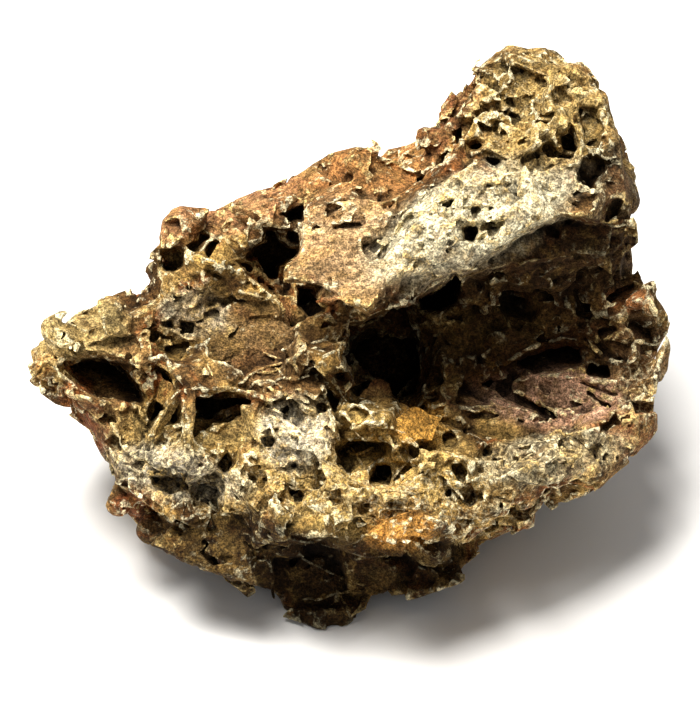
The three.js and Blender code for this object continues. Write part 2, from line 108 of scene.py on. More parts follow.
# Hollows of the show face: outline, depth, and how far the floor comes out across and down
HOLLOWS = [
    # Prong and the cells beside it
    (((61, 361), (75, 357), (97, 356), (120, 362), (140, 384), (144, 398), (143, 408), (118, 402), (98, 401),
      (80, 388), (66, 376)), 12, 0, 0.7),
    (((80, 346), (96, 338), (135, 335), (142, 352), (120, 362), (97, 356), (75, 357)), 4, 0, -0.5),
    (((150, 364), (157, 363), (170, 375), (176, 392), (172, 395), (158, 378)), 8, 0, 0),
    (((148, 410), (154, 400), (165, 408), (160, 414), (152, 425), (148, 428)), 8, 0, 0),
    (((180, 395), (182, 424), (160, 429), (168, 412)), 8, 0, 0.2),
    (((194, 396), (240, 397), (252, 402), (225, 411), (212, 419), (196, 420)), 10, 0, 0.4),
    (((159, 321), (170, 320), (175, 328), (163, 328)), 3, 0, 0),
    (((180, 321), (195, 321), (196, 336), (182, 333)), 4, 0, 0),
    (((161, 333), (172, 335), (170, 341), (160, 340)), 3, 0, 0),
    (((165, 346), (183, 345), (190, 353), (178, 362), (167, 358)), 3, 0, 0),
    (((40, 380), (58, 385), (58, 394), (46, 392)), 2.5, 0, 0),
    # Lower left crust
    (((150, 476), (180, 474), (190, 488), (170, 496), (152, 486)), 5, 0, 0),
    (((215, 462), (227, 450), (235, 465), (226, 478), (214, 468)), 7, 0, 0),
    (((198, 478), (220, 488), (212, 502), (192, 498)), 6, 0, 0),
    (((238, 468), (248, 462), (247, 478), (240, 476)), 4, 0, 0),
    (((174, 467), (187, 468), (190, 476), (180, 477)), 4, 0, 0),
    # Shoulder
    (((161, 252), (175, 247), (184, 252), (184, 268), (176, 274), (163, 273), (160, 262)), 8, 0, 0),
    (((186, 246), (200, 234), (210, 236), (205, 245), (198, 252), (188, 252)), 6, 0, 0),
    (((206, 243), (218, 240), (228, 246), (238, 256), (222, 262), (203, 260)), 5, 0.5, 0),
    (((262, 226), (278, 226), (283, 238), (292, 246), (299, 246), (299, 256), (290, 262), (280, 268),
      (277, 282), (268, 278), (258, 268), (254, 262), (245, 258), (252, 246), (263, 240)), 14, 0, 0),
    (((280, 214), (290, 207), (306, 202), (303, 212), (304, 222), (290, 222)), 7, 0, 0.4),
    (((214, 222), (240, 220), (246, 226), (228, 230), (215, 230)), 2.5, 0, 0),
    (((286, 228), (299, 230), (299, 244), (288, 244)), 8, 0, 0),
    (((238, 262), (252, 264), (256, 276), (246, 274)), 5, 0, 0),
    (((262, 282), (275, 288), (280, 296), (270, 292)), 5, 0, 0),
    (((203, 268), (216, 272), (226, 280), (214, 278)), 3, 0, 0),
    # Tan plate and the groove beside it
    (((332, 226), (345, 221), (362, 222), (362, 229), (345, 231), (333, 231)), 3.5, 0, 0),
    (((361, 244), (372, 239), (384, 247), (380, 258), (370, 262), (363, 254)), 3.5, 0.3, 0.3),
    (((398, 228), (412, 213), (419, 217), (406, 234), (395, 246), (386, 255), (380, 264),
      (378, 256)), 3, 0, 0),
    (((296, 285), (314, 286), (318, 300), (326, 312), (310, 318), (296, 306)), 7, 0, 0),
    (((318, 300), (345, 304), (368, 311), (389, 300), (386, 320), (350, 328), (322, 320)), 8, 0, 0.3),
    (((350, 190), (366, 186), (378, 197), (362, 200)), 2, 0, 0),
    # Horn
    (((467, 144), (475, 140), (484, 145), (484, 152), (476, 155), (469, 150)), 5, 0, 0),
    (((485, 158), (498, 157), (504, 163), (494, 166)), 3, 0, 0),
    (((450, 132), (463, 124), (462, 138), (457, 145)), 4, 0, 0),
    (((558, 134), (566, 133), (570, 123), (575, 126), (578, 145), (576, 153), (563, 151)), 9, 0, 0),
    (((541, 142), (552, 140), (560, 152), (578, 155), (572, 160), (545, 158)), 6, 0, 0),
    (((520, 158), (538, 148), (540, 158), (522, 166)), 3, 0, 0),
    (((580, 156), (598, 153), (606, 165), (600, 180), (592, 189), (578, 182), (576, 168)), 6, 0, 0),
    (((466, 84), (473, 72), (478, 75), (470, 88), (465, 92)), 4, 0, 0),
    (((500, 98), (512, 98), (520, 110), (508, 108)), 3, 0, 0),
    (((507, 110), (516, 114), (521, 123), (509, 118)), 3, 0, 0),
    (((541, 115), (556, 112), (552, 122), (543, 124)), 3, 0, 0),
    (((494, 103), (500, 102), (500, 110), (494, 109)), 2.5, 0, 0),
    (((498, 131), (506, 129), (510, 138), (500, 139)), 2.5, 0, 0),
    (((508, 62), (540, 70), (548, 84), (542, 94), (524, 92), (512, 78)), 2.5, 0.1, 0.1),
    (((550, 92), (562, 84), (578, 96), (570, 108), (556, 104)), 2.8, 0, 0),
    (((580, 105), (598, 108), (605, 130), (598, 148), (584, 148), (578, 125)), 2.5, 0, 0.1),
    (((478, 122), (496, 128), (506, 142), (534, 140), (520, 156), (496, 152), (482, 138)), 2.2, 0, 0),
    (((540, 166), (575, 165), (576, 190), (598, 195), (590, 212), (562, 200), (542, 188)), 2.4, 0, 0),
    (((602, 212), (612, 197), (622, 200), (618, 215), (605, 225)), 5, 0, 0),
    # Brow
    (((505, 183), (514, 181), (515, 187), (506, 189)), 3, 0, 0),
    (((485, 183), (495, 185), (488, 188)), 2, 0, 0),
    (((441, 206), (450, 196), (458, 200), (448, 207)), 3.5, 0, 0),
    (((442, 210), (458, 203), (456, 218), (445, 220)), 1.6, 0, 0),
    (((461, 229), (468, 223), (476, 226), (480, 234), (474, 243), (464, 241)), 8, 0, 0),
    (((485, 230), (492, 221), (499, 226), (500, 236), (486, 240), (477, 243)), 5, -0.3, 0.3),
    (((531, 215), (540, 216), (538, 221), (532, 220)), 2.5, 0, 0),
    (((486, 205), (496, 206), (490, 211)), 2, 0, 0),
    (((470, 205), (478, 206), (476, 218), (471, 217)), 1.6, 0, 0),
    # Recess
    (((470, 264), (500, 246), (516, 232), (562, 212), (598, 219), (640, 222), (640, 258), (600, 268),
      (560, 264), (520, 266), (482, 284)), 16, 0, 0.2),
    (((416, 298), (440, 288), (456, 272), (462, 280), (458, 305), (440, 315), (420, 312)), 12, 0, 0),
    (((362, 340), (385, 334), (418, 340), (420, 370), (417, 394), (400, 400), (388, 392), (378, 380),
      (365, 372), (350, 352)), 4, 0, 0),
    (((422, 360), (440, 365), (446, 385), (425, 392)), 5, 0, 0),
    (((515, 362), (540, 347), (565, 342), (582, 348), (586, 364), (560, 374), (535, 376)), 7, 0, 0.3),
    (((588, 362), (608, 366), (612, 378), (596, 380), (585, 375)), 6, 0, 0),
    (((598, 330), (615, 325), (622, 330), (600, 340)), 3, 0, 0),
    (((600, 342), (622, 336), (632, 348), (626, 364), (608, 358)), 2.5, 0, 0),
    # Right flank
    (((608, 290), (636, 280), (640, 290), (612, 300), (606, 300)), 7, 0, 0),
    (((606, 256), (628, 240), (640, 250), (636, 262), (612, 262)), 4, 0, 0),
    (((628, 318), (645, 314), (660, 318), (664, 335), (650, 345), (634, 340), (630, 328)), 5, 0, 0),
    (((634, 342), (656, 342), (660, 352), (640, 356)), 6, 0, 0),
    (((642, 372), (652, 370), (656, 396), (646, 398)), 3, 0, 0),
    (((630, 400), (655, 402), (658, 412), (634, 416)), 4, 0, 0),
    # Shelf
    (((490, 392), (502, 387), (520, 394), (540, 405), (562, 416), (548, 419), (528, 411),
      (506, 401)), 4.5, 0, 0),
    (((600, 424), (616, 415), (620, 424), (606, 434), (600, 432)), 4, 0, 0),
    (((586, 387), (613, 408), (608, 411), (587, 394)), 1.8, 0, 0),
    (((580, 382), (618, 392), (618, 396), (588, 388)), 1.6, 0, 0),
    (((470, 413), (485, 410), (500, 415), (490, 421), (472, 420)), 2, 0, 0),
    (((518, 420), (528, 418), (530, 424), (520, 425)), 1.6, 0, 0),
    # Middle
    (((322, 384), (331, 391), (341, 400), (336, 414), (327, 406), (323, 398)), 6, 0, 0),
    (((330, 374), (342, 370), (358, 375), (350, 384), (342, 386)), 5, 0, 0),
    (((348, 388), (362, 382), (372, 379), (368, 388), (356, 398)), 5, 0, 0),
    (((344, 408), (356, 403), (370, 414), (366, 419), (352, 431), (340, 436), (336, 421)), 5, 0, 0.5),
    (((356, 430), (368, 422), (372, 436), (362, 440)), 4, 0, 0),
    (((334, 450), (348, 441), (384, 440), (388, 455), (368, 470), (350, 474), (338, 466)), 6, 0, 0.3),
    (((366, 482), (374, 462), (392, 462), (396, 472), (390, 485), (370, 485)), 12, 0, 0),
    (((392, 455), (400, 442), (416, 446), (421, 456), (404, 467)), 6, 0, 0.3),
    (((440, 432), (452, 430), (458, 440), (455, 447), (444, 450)), 5, 0, 0.4),
    (((450, 466), (462, 462), (468, 472), (466, 486), (456, 480)), 6, 0, 0),
    (((442, 490), (452, 486), (454, 500), (444, 498)), 5, 0, 0),
    (((282, 410), (289, 403), (290, 418), (284, 424)), 3, 0, 0),
    (((260, 438), (270, 435), (272, 446), (264, 448)), 4, 0, 0),
    (((317, 404), (325, 403), (326, 412), (316, 412)), 3, 0, 0),
    (((243, 468), (258, 462), (270, 480), (262, 494), (246, 480)), 3.5, 0, 0),
    (((286, 462), (298, 460), (298, 470), (288, 468)), 3, 0, 0),
    (((282, 484), (300, 489), (303, 496), (290, 498)), 4, 0, 0),
    (((328, 497), (342, 500), (347, 505), (334, 505)), 3, 0, 0),
    (((362, 502), (372, 500), (370, 508), (362, 507)), 3, 0, 0),
    (((362, 518), (378, 512), (378, 518), (366, 521)), 2.5, 0, 0),
    (((403, 537), (412, 530), (420, 534), (416, 539), (404, 541)), 4, 0, 0),
    (((311, 540), (330, 535), (338, 538), (332, 548), (318, 545)), 3, 0, 0),
    (((335, 522), (356, 520), (358, 534), (340, 535)), 3, 0, 0),
    # Lower right
    (((500, 458), (510, 456), (512, 468), (502, 470)), 4, 0, 0),
    (((474, 460), (484, 458), (486, 472), (476, 474)), 3, 0, 0),
    (((556, 448), (572, 440), (590, 445), (600, 442), (580, 455), (560, 458)), 3, 0, 0),
    (((540, 462), (560, 456), (575, 462), (572, 476), (550, 478)), 3, 0, 0),
    (((458, 490), (470, 480), (478, 500), (470, 510)), 4, 0, 0),
    (((520, 480), (545, 485), (575, 494), (558, 505), (548, 520), (530, 524), (512, 515),
      (508, 500)), 5, 0, 0),
]

# Hollows narrow towards the floor, are never shallower than this, and have sloping sides at the floor
HOLLOW_TAPER = 0.1
HOLLOW_LEAST = 0.5
HOLLOW_FLOOR = 0.8

# Hollows and plates are worked this far round their outlines, which are ragged
OUTLINE_MARGIN = 1.0
RAGGED_LUMPS = [(2.6, 0.6), (1.2, 0.4)]
RAGGED_SEED = 81

# Planes along the skin: rings of points in an outline, how uneven and how few they may be, steepest slope
PLANE_RINGS = (0.75, 0.4)
PLANE_UNEVEN = 5
PLANE_POINTS = 5
PLANE_SLOPE = 1.1

# Flat plates of the show face: outline and how far they stand out
PLATES = [
    (((302, 205), (345, 197), (380, 200), (400, 195), (392, 225), (360, 240), (388, 264), (385, 297),
      (368, 309), (348, 303), (320, 286), (282, 282), (284, 262), (300, 250)), 0.6),
    (((232, 300), (275, 297), (292, 325), (300, 345), (275, 352), (240, 384), (212, 387), (205, 345),
      (222, 310)), 0),
    (((505, 385), (560, 373), (600, 382), (622, 398), (610, 412), (565, 418), (540, 402)), 0),
    (((462, 412), (520, 405), (565, 425), (540, 440), (500, 440), (470, 432)), 0),
    (((146, 452), (160, 430), (184, 425), (186, 458), (150, 460)), -1.5),
    (((112, 412), (140, 405), (145, 440), (122, 448)), -0.5),
    (((195, 422), (218, 430), (258, 404), (262, 434), (226, 444), (196, 446)), -1.5),
    (((388, 425), (412, 408), (436, 418), (430, 436), (405, 440), (392, 438)), 0.8),
    (((365, 535), (385, 520), (420, 510), (440, 518), (425, 534), (402, 536), (395, 547)), 0.8),
    (((360, 398), (372, 381), (384, 384), (390, 402), (384, 412), (368, 410)), 0.5),
    (((270, 556), (325, 556), (340, 590), (330, 610), (285, 610), (272, 590)), 0),
    (((340, 560), (400, 556), (395, 590), (350, 600)), 0),
    (((150, 545), (180, 520), (240, 540), (262, 590), (215, 575)), 0),
    (((155, 380), (178, 396), (168, 409), (153, 398)), -1.0),
]

# Plates fade in from their edges, and towards skin that lies far off
PLATE_EDGE = 0.8
PLATE_REACH = (5, 7)

# Thin flakes that stand on the show face: corners, with how far each stands out of the skin
FLAKES = [
    ((158, 373, 0.8), (179, 395, -0.5), (169, 409, -1.5), (154, 399, 0)),
    ((159, 373, 1.0), (156, 399, 0.6), (151, 420, 0.6), (147, 441, 0.5), (145, 424, -3), (152, 396, -4)),
    ((179, 393, 0.5), (183, 400, -2), (162, 432, -2), (143, 453, 0.5), (158, 424, 0.8)),
    ((599, 294, 0.5), (620, 281, 1.5), (639, 269, 1.5), (641, 275, -1), (622, 287, -2), (602, 299, -2)),
    ((503, 365, 0.5), (525, 349, 1), (545, 342, 1), (566, 338, 1), (586, 342, 1), (601, 355, 0.5),
     (597, 359, -2), (584, 348, -3), (565, 344, -3), (545, 348, -3), (526, 355, -3)),
    ((350, 475, -3), (362, 461, -1), (373, 470, -1), (366, 483, -3)),
    ((397, 477, -2), (410, 466, 0), (426, 461, 0.6), (419, 475, -0.5), (402, 485, -1)),
    ((361, 537, 0.8), (384, 520, 1.6), (420, 509, 1.8), (443, 518, 1), (428, 535, 0.8), (404, 536, 1.2),
     (397, 549, 0.6), (381, 545, 0.6)),
    ((385, 427, 0.8), (412, 405, 1.5), (439, 418, 1.2), (431, 438, 1), (404, 442, 1), (390, 439, 0.6)),
    ((357, 400, 0.3), (372, 379, 0.8), (386, 381, 0.8), (392, 402, 0.5), (385, 414, 0.3), (366, 412, 0.3)),
    ((186, 389, 1.4), (194, 391, 1.4), (194, 420, 0.8), (193, 447, 0.4), (186, 447, 0.4), (187, 420, 0.8)),
    ((604, 308, 0.6), (630, 296, 1.2), (658, 300, 1), (660, 309, 0.3), (634, 314, 0.3), (612, 318, 0)),
    ((204, 262, 0), (222, 238, 0.5), (240, 257, 0.2), (224, 264, 0)),
    ((318, 303, 0), (330, 296, 0.8), (352, 304, 1), (368, 311, 1.2), (386, 299, 0.8), (380, 292, 0),
     (350, 294, 0)),
    ((458, 263, 0), (482, 257, 1), (512, 240, 1), (514, 233, 0.4), (486, 246, 0.4), (462, 254, 0)),
]
FLAKE_THICKNESS = 0.6
FLAKE_SPREAD = 3.5
FLAKE_EDGES = (0.006, 0.003, 0.0015, 0.001)
FLAKE_LUMPS = [(2.4, 0.5), (1.0, 0.2)]
FLAKE_SEED = 110
FLAKE_RELIEF = {"crest": 0.52, "hollow": 0.55, "depth": 0.5, "crust": 0.15}

# Fine threads that lie on the show face: where they run
THREADS = [
    ((240, 384), (252, 374), (270, 366), (292, 360), (304, 350), (306, 342)),
    ((255, 373), (275, 372), (292, 361)),
    ((262, 352), (276, 358), (290, 360)),
    ((292, 361), (300, 374), (312, 366), (320, 372)),
    ((268, 388), (280, 378), (296, 380), (312, 375)),
    ((246, 390), (258, 380), (272, 382), (284, 388)),
    ((274, 366), (284, 376), (290, 386)),
    ((284, 342), (292, 352), (296, 362)),
    ((304, 350), (314, 342), (326, 340), (330, 330)),
    ((240, 292), (262, 296), (275, 303), (290, 321), (300, 340)),
    ((372, 418), (356, 403), (342, 391), (330, 381)),
    ((337, 412), (342, 399), (360, 385)),
    ((318, 372), (330, 373), (342, 368), (360, 376), (379, 381)),
    ((345, 450), (356, 456), (368, 450), (376, 446)),
    ((350, 446), (358, 458), (364, 466)),
    ((185, 391), (205, 388), (228, 388), (262, 397)),
    ((200, 478), (212, 480), (222, 490)),
    ((270, 486), (282, 480), (296, 486), (306, 480)),
    ((290, 470), (300, 478), (312, 474), (322, 482)),
    ((320, 486), (336, 490), (352, 486), (362, 492)),
    ((380, 492), (396, 490), (412, 494), (428, 490)),
    ((296, 556), (318, 566), (342, 578), (366, 586)),
    ((300, 600), (322, 598), (346, 592), (366, 590)),
    ((352, 622), (346, 606), (340, 594)),
    ((250, 530), (258, 548), (272, 566), (274, 600)),
    ((420, 400), (436, 396), (446, 386), (462, 382)),
    ((466, 408), (486, 406), (508, 406), (530, 412)),
    ((470, 324), (452, 320), (436, 326), (424, 318)),
    ((545, 408), (552, 418), (556, 426)),
    ((150, 330), (160, 326), (172, 330), (186, 340), (196, 338)),
    ((206, 345), (207, 360), (213, 378)),
    ((476, 232), (486, 222), (500, 228), (508, 238)),
    ((512, 62), (540, 72), (552, 80), (548, 96)),
    ((484, 100), (498, 92), (512, 80), (512, 66)),
    ((468, 155), (490, 148), (510, 160), (524, 152), (544, 142)),
    ((576, 105), (579, 125), (582, 150), (578, 165)),
]
THREAD_RADIUS = 0.3
THREAD_SIDES = 6
THREAD_GAP = 3.0
THREAD_RISE = 0.5
THREAD_JUMP = 2.5
THREAD_TIP = 0.3
STRAND_POINTS = 4
THREAD_STRAY = [(1.6, 0.35)]
THREAD_SEED = 100
THREAD_SWELL = [(1.3, 0.45)]
SWELL_SEED = 103
THREAD_KINDS = 7
THREAD_RELIEF = {"crest": 0.66, "hollow": 0.6, "depth": 0.45, "crust": 0.0}

# Raised veins of the show face: their run, width and height
VEINS = [
    (((240, 292), (262, 296), (275, 303), (290, 321)), 0.7, 0.8),
    (((240, 384), (252, 374), (270, 366), (292, 360), (304, 350), (306, 342)), 0.7, 0.9),
    (((255, 373), (275, 372), (292, 361)), 0.6, 0.8),
    (((262, 352), (276, 358), (290, 360)), 0.6, 0.8),
    (((292, 361), (300, 374), (312, 366)), 0.6, 0.8),
    (((268, 388), (280, 378), (296, 380), (312, 375)), 0.6, 0.8),
    (((185, 391), (205, 388), (228, 388), (262, 397)), 1.0, 1.0),
    (((505, 364), (525, 350), (545, 343), (566, 339), (584, 343), (600, 354)), 1.0, 1.4),
    (((505, 383), (540, 376), (580, 378), (622, 392)), 0.8, 0.5),
    (((460, 420), (470, 434), (486, 446)), 0.9, 0.8),
    (((322, 386), (328, 404), (334, 430), (340, 440)), 0.9, 1.0),
    (((424, 442), (430, 428), (440, 416), (434, 404)), 0.9, 0.8),
    (((468, 155), (490, 148), (510, 160), (524, 152), (544, 142)), 0.9, 0.9),
    (((576, 105), (579, 125), (582, 150), (578, 165)), 0.9, 0.8),
    (((484, 100), (498, 92), (512, 80)), 0.8, 0.7),
    (((512, 62), (540, 72), (552, 80), (548, 96)), 0.9, 0.8),
]
VEIN_RAGGED = 0.5
VEIN_CREST = 0.3

# Where cells open, by place on the show face: centre, half sizes, turn in degrees, share of cells that open
CELL_PANELS = [
    ((0, 0), (90, 90), 0, 0.1),
    ((48, 62), (16, 16), 0, 0.4),
    ((6, -33), (44, 9), -4, 0.4),
    ((-42, -32), (18, 6), -15, 0.3),
    ((-15, -53), (46, 14), 0, 0.03),
    ((30, 34), (26, 11), 25, 0.05),
]
CELL_SHARE = 0.34

# Where the skin is a pitted crust: the same, with the share of crust
CRUST_PANELS = [
    ((30, 34), (27, 12), 25, 0.7),
    ((48, 62), (17, 15), 0, 0.65),
    ((0, 28), (14, 13), 0, 0.15),
    ((-24, 4.5), (12, 11), 0, 0.1),
    ((-40, 12), (10, 7), 0, 0.85),
    ((-76, -2), (7, 9), 0, 0.85),
    ((-42, -30), (20, 8), -15, 0.95),
    ((-14, -22), (11, 12), 0, 0.95),
    ((6, -36), (42, 9), -4, 0.9),
    ((52, -14), (19, 7), 0, 0.15),
    ((50, -25), (20, 7), 10, 0.9),
    ((73, -8), (7, 9), 0, 0.8),
    ((37, 9), (38, 15), 14, 0.2),
    ((-15, -53), (46, 13), 0, 0.05),
]
CRUST_SHARE = 0.4

# Knobs that stand out at the edge of the show face: middle, where their depth is taken from, and radius
KNOBS = [
    ((60, 328), (82, 334), 4.6),
    ((110, 312), (114, 326), 4.0),
    ((43, 372), (58, 370), 4.0),
    ((184, 225), (194, 238), 4.6),
    ((364, 157), (364, 172), 5.0),
    ((330, 610), (318, 596), 7.0),
    ((653, 322), (640, 322), 4.5),
    ((120, 502), (134, 496), 3.5),
    ((152, 528), (168, 522), 4.0),
    ((426, 142), (438, 142), 3.5),
]
KNOB_BLEND = 3.0
KNOB_SINK = 0.5
KNOB_MARGIN = 2

# Layers of cells: size, wall between them, depth from and to, where and what share of them open
OPEN_PLACES = (CELL_PANELS, CELL_SHARE)
CRUST_PLACES = (CRUST_PANELS, CRUST_SHARE)
CELL_LAYERS = [
    {"size": 10.5, "wall": 1.3, "depth": (3.0, 8.0), "where": OPEN_PLACES, "share": 0.7, "seed": 11},
    {"size": 5.2, "wall": 1.0, "depth": (1.6, 4.6), "where": OPEN_PLACES, "share": 1.0, "seed": 12},
]
CRUST_CELLS = {"size": 3.5, "wall": 0.8, "depth": (1.0, 2.8), "where": CRUST_PLACES, "share": 0.5, "seed": 17}
PORES = {"size": 2.5, "radius": (0.45, 1.1), "share": 0.25, "seed": 13}

# Cells: how far below and above the skin they work, tilt and share of their floors, and uneven walls
CELL_ROOM = 1.3
CELL_BELOW = 1
CELL_ABOVE = 1.5
CELL_TILT = 0.6
CELL_FLOOR = 0.7
WALL_LUMP = 0.35
WALL_UNEVEN = 0.3
WALL_SEED = 50

# Flat chips of the skin: size, tilt and how far they are cut in
CHIP_LAYERS = [
    {"size": 10.0, "tilt": 0.5, "depth": (-0.9, 0.7), "seed": 14},
    {"size": 4.2, "tilt": 0.4, "depth": (-0.6, 0.15), "seed": 15},
]
CHIP_REACH = 0.75
SLOPE_STEP = 1.5

# Lumps of the skin: size and height
SKIN_LUMPS = [(3.0, 0.1)]
SKIN_SEED = 70

# Tints of the show face, with painted shade and painted light where marked: centre, half sizes, turn in
# degrees, colour and strength
TINTS_WITH_PAINTED_LIGHT_AND_SHADE = [
    # Painted shade, partly the dark umber stone: the underside is tinted near black
    ((-15, -54), (48, 16), 0, (0.022, 0.011, 0.004), 1.0),
    ((1, -27), (28, 16), 0, (0.56, 0.39, 0.15), 0.8),
    ((-69, 8), (13, 8), 0, (0.46, 0.35, 0.16), 0.85),
    ((-29, 38), (20, 7), 20, (0.40, 0.21, 0.11), 0.85),
    ((5, 47), (17, 8), 15, (0.38, 0.19, 0.08), 0.85),
    ((23.5, 61), (6, 12), -20, (0.19, 0.085, 0.042), 0.95),
    ((0, 28), (14, 13), 0, (0.45, 0.30, 0.165), 0.9),
    ((30, 34), (26, 11), 25, (0.80, 0.73, 0.51), 0.95),
    ((48, 62), (17, 15), 0, (0.38, 0.27, 0.11), 0.85),
    # Painted shade: the shaded right flank of the horn is tinted dark
    ((67, 39), (6, 16), 0, (0.10, 0.07, 0.038), 0.85),
    # Painted shade: the next three tint the recess under the brow, partly darker stone, and its deep cavities
    # near black
    ((38, 7), (41, 18), 14, (0.06, 0.03, 0.014), 0.95),
    ((56, 23), (17, 8), 10, (0.05, 0.028, 0.014), 0.95),
    ((59, 30), (13, 5), 0, (0.04, 0.022, 0.011), 0.95),
    ((73, 0), (8, 26), 0, (0.20, 0.12, 0.06), 0.7),
    ((69, 14.5), (6, 3), 0, (0.38, 0.16, 0.07), 0.8),
    ((72.5, -19), (7, 7), 0, (0.22, 0.09, 0.045), 0.8),
    # Painted light: the shelf's pinkish brown tint is made lighter to stand for the light that falls on it
    ((50, -10), (19, 7), 0, (0.50, 0.31, 0.21), 0.95),
    ((49, -25), (20, 6), 10, (0.30, 0.25, 0.155), 0.88),
    ((-24, 4.5), (12, 11), 0, (0.20, 0.125, 0.06), 0.88),
    ((-41, -18), (18, 7), 0, (0.36, 0.26, 0.11), 0.8),
    ((-42.5, -29), (17, 6), -15, (0.42, 0.38, 0.29), 0.88),
    ((-14, -19), (9, 9), 0, (0.78, 0.71, 0.54), 0.9),
    ((-39, 11), (8, 6), 0, (0.58, 0.50, 0.36), 0.7),
    ((18, -17), (7, 6), 0, (0.54, 0.27, 0.07), 0.7),
    ((13, -43), (9, 5), 0, (0.55, 0.28, 0.09), 0.7),
    ((-64.4, -18.6), (5, 7), 0, (0.20, 0.07, 0.035), 0.85),
    ((-53, -37), (6, 4), 0, (0.22, 0.08, 0.04), 0.8),
]

# Reach of the relief that the finish follows: fine crests, and hollows and deep recesses, which get painted
# shade
RELIEF_REACH = {"crest": 1.3, "hollow": 4.0, "depth": 11.0}

# Facets of the whole stone and of the part behind its front, and how far out the front part starts
ALL_FACETS = 197_000
REST_FACETS = 50_000
FRONT_FROM = -6.0
FACET_ANGLE = math.radians(28)

# Lumps of the facets: size and height
GRIT_LUMPS = [(2.0, 0.09), (0.9, 0.07)]
GRIT_FOOT = (0.2, 1.5)
GRIT_SEED = 90

# Noise of the finish: size in metres, detail, roughness and distortion
FINISH_NOISE = {
    "broad": (0.022, 3, 0.6, 0.0),
    "rust": (0.016, 3, 0.6, 0.8),
    "patch": (0.011, 4, 0.65, 0.6),
    "stain": (0.006, 3, 0.7, 0.5),
    "lump": (0.0042, 4, 0.7, 0.0),
    "crust": (0.0023, 4, 0.75, 0.0),
    "grit": (0.0011, 4, 0.75, 0.0),
    "sand": (0.00042, 2, 0.6, 0.0),
}

# Smooth steps of the finish: the values between which each one goes, and what it goes from and to
FINISH_STEPS = {
    "brown": (0.4, 0.62, 0.0, 1.0),
    "ochre": (0.46, 0.62, 0.0, 1.0),
    "rust": (0.52, 0.64, 0.0, 1.0),
    "tint_with_painted_light_and_shade": (0.3, 0.6, 0.6, 1.0),
    "stain": (0.5, 0.62, 0.0, 0.45),
    "lump": (0.3, 0.7, 0.45, 1.3),
    # Painted shade, partly darker stone: hollow and depth darken the colour in hollows and deep recesses
    "hollow": (0.3, 0.55, 0.4, 1.0),
    "depth": (0.2, 0.45, 0.3, 1.0),
    # Painted shade: pale crests and threads fade deep in recesses
    "unshaded": (0.3, 0.48, 0.25, 1.0),
    "crest edge": (0.3, 0.7, -0.14, 0.07),
    "crest": (0.56, 0.7, 0.0, 1.0),
    "sand crust": (0.4, 0.6, 0.0, 1.0),
    # Painted shade: the pale crust dims where the tint and its painted shade are dark
    "dim": (0.02, 0.12, -0.7, 0.0),
    "crust edge": (0.3, 0.7, -0.3, 0.3),
    "crust": (0.45, 0.8, 0.0, 1.0),
    # Painted shade: darkening of the crust's lace pits
    "painted_pit_shade": (0.22, 0.42, 0.0, 1.0),
    "thread": (0.16, 0.04, 0.0, 1.0),
    "thread break": (0.35, 0.6, 0.0, 1.0),
    "grit": (0.36, 0.64, 0.4, 1.5),
    "sand": (0.38, 0.62, 0.55, 1.45),
}
STAIN_SHARE = 0.5
SATURATION = 1.08
DULLNESS = 0.92
GLOSS = 0.12

# Lace of the crust: how it strays, its scale, and how strong the painted shade of its pits and its threads
# are
LACE_SHIFT = {"Scale": 380.0, "Detail": 3.0}
LACE_STRAY = 0.003
LACE_SCALE = 470.0
PIT_SHARE = 0.8
PIT_SHADE = 0.25
THREAD_SHARE = 0.6

# Grain of the finish: height of its sand beside its grit, and of both, in metres
SAND_HEIGHT = 0.4
BUMP_HEIGHT = 0.0009

# The key light is aimed at a point in the stone, in metres
KEY_AIM = (0, 0, 0.05)

# Scattered seeds: where they lie in their boxes, and boxes beyond the block on each side
SEED_SPREAD = (0.05, 0.95)
BOXES_BEYOND = 2

# Random values on each side of the block of noise, and points that are worked out at a time
NOISE_SIDE = 64
CHUNK = 200_000


def in_chunks(job, points):
    """Runs job on the points a chunk at a time, on every core, and joins what it gives."""
    parts = [points[i : i + CHUNK] for i in range(0, len(points), CHUNK)]
    with ThreadPoolExecutor() as pool:
        done = list(pool.map(job, parts))
    if isinstance(done[0], tuple):
        return tuple(np.concatenate(column) for column in zip(*done))
    return np.concatenate(done)


class Noise:
    """Smooth random values from -1 to 1."""

    def __init__(self, seed):
        side = (NOISE_SIDE,) * 3
        self.values = np.random.default_rng(seed).uniform(-1, 1, side).astype(np.float32).ravel()

    def chunk(self, points):
        base = np.floor(points).astype(np.int32)
        share = points - base
        share = share * share * (3 - 2 * share)
        near = base & (NOISE_SIDE - 1)
        far = (base + 1) & (NOISE_SIDE - 1)
        x = (near[:, 0] * NOISE_SIDE, far[:, 0] * NOISE_SIDE)
        y = (near[:, 1], far[:, 1])
        z = (near[:, 2], far[:, 2])

        def along_z(i, j):
            row = (x[i] + y[j]) * NOISE_SIDE
            low = self.values[row + z[0]]
            return low + (self.values[row + z[1]] - low) * share[:, 2]

        front = along_z(0, 0)
        front += (along_z(0, 1) - front) * share[:, 1]
        back = along_z(1, 0)
        back += (along_z(1, 1) - back) * share[:, 1]
        return front + (back - front) * share[:, 0]

    def __call__(self, points, size):
        return in_chunks(self.chunk, (points / size).astype(np.float32))


def lumps(points, layers, seed, apart=1):
    """Adds up layers of noise, each of its own size and height, with seeds this far apart."""
    rise = np.zeros(len(points), np.float32)
    for number, (size, height) in enumerate(layers):
        rise += Noise(seed + apart * number)(points, size) * height
    return rise


def shifts(points, layers, seed, apart):
    """Lumps along each axis of space."""
    return np.stack([lumps(points, layers, seed + axis, apart) for axis in range(3)], -1)


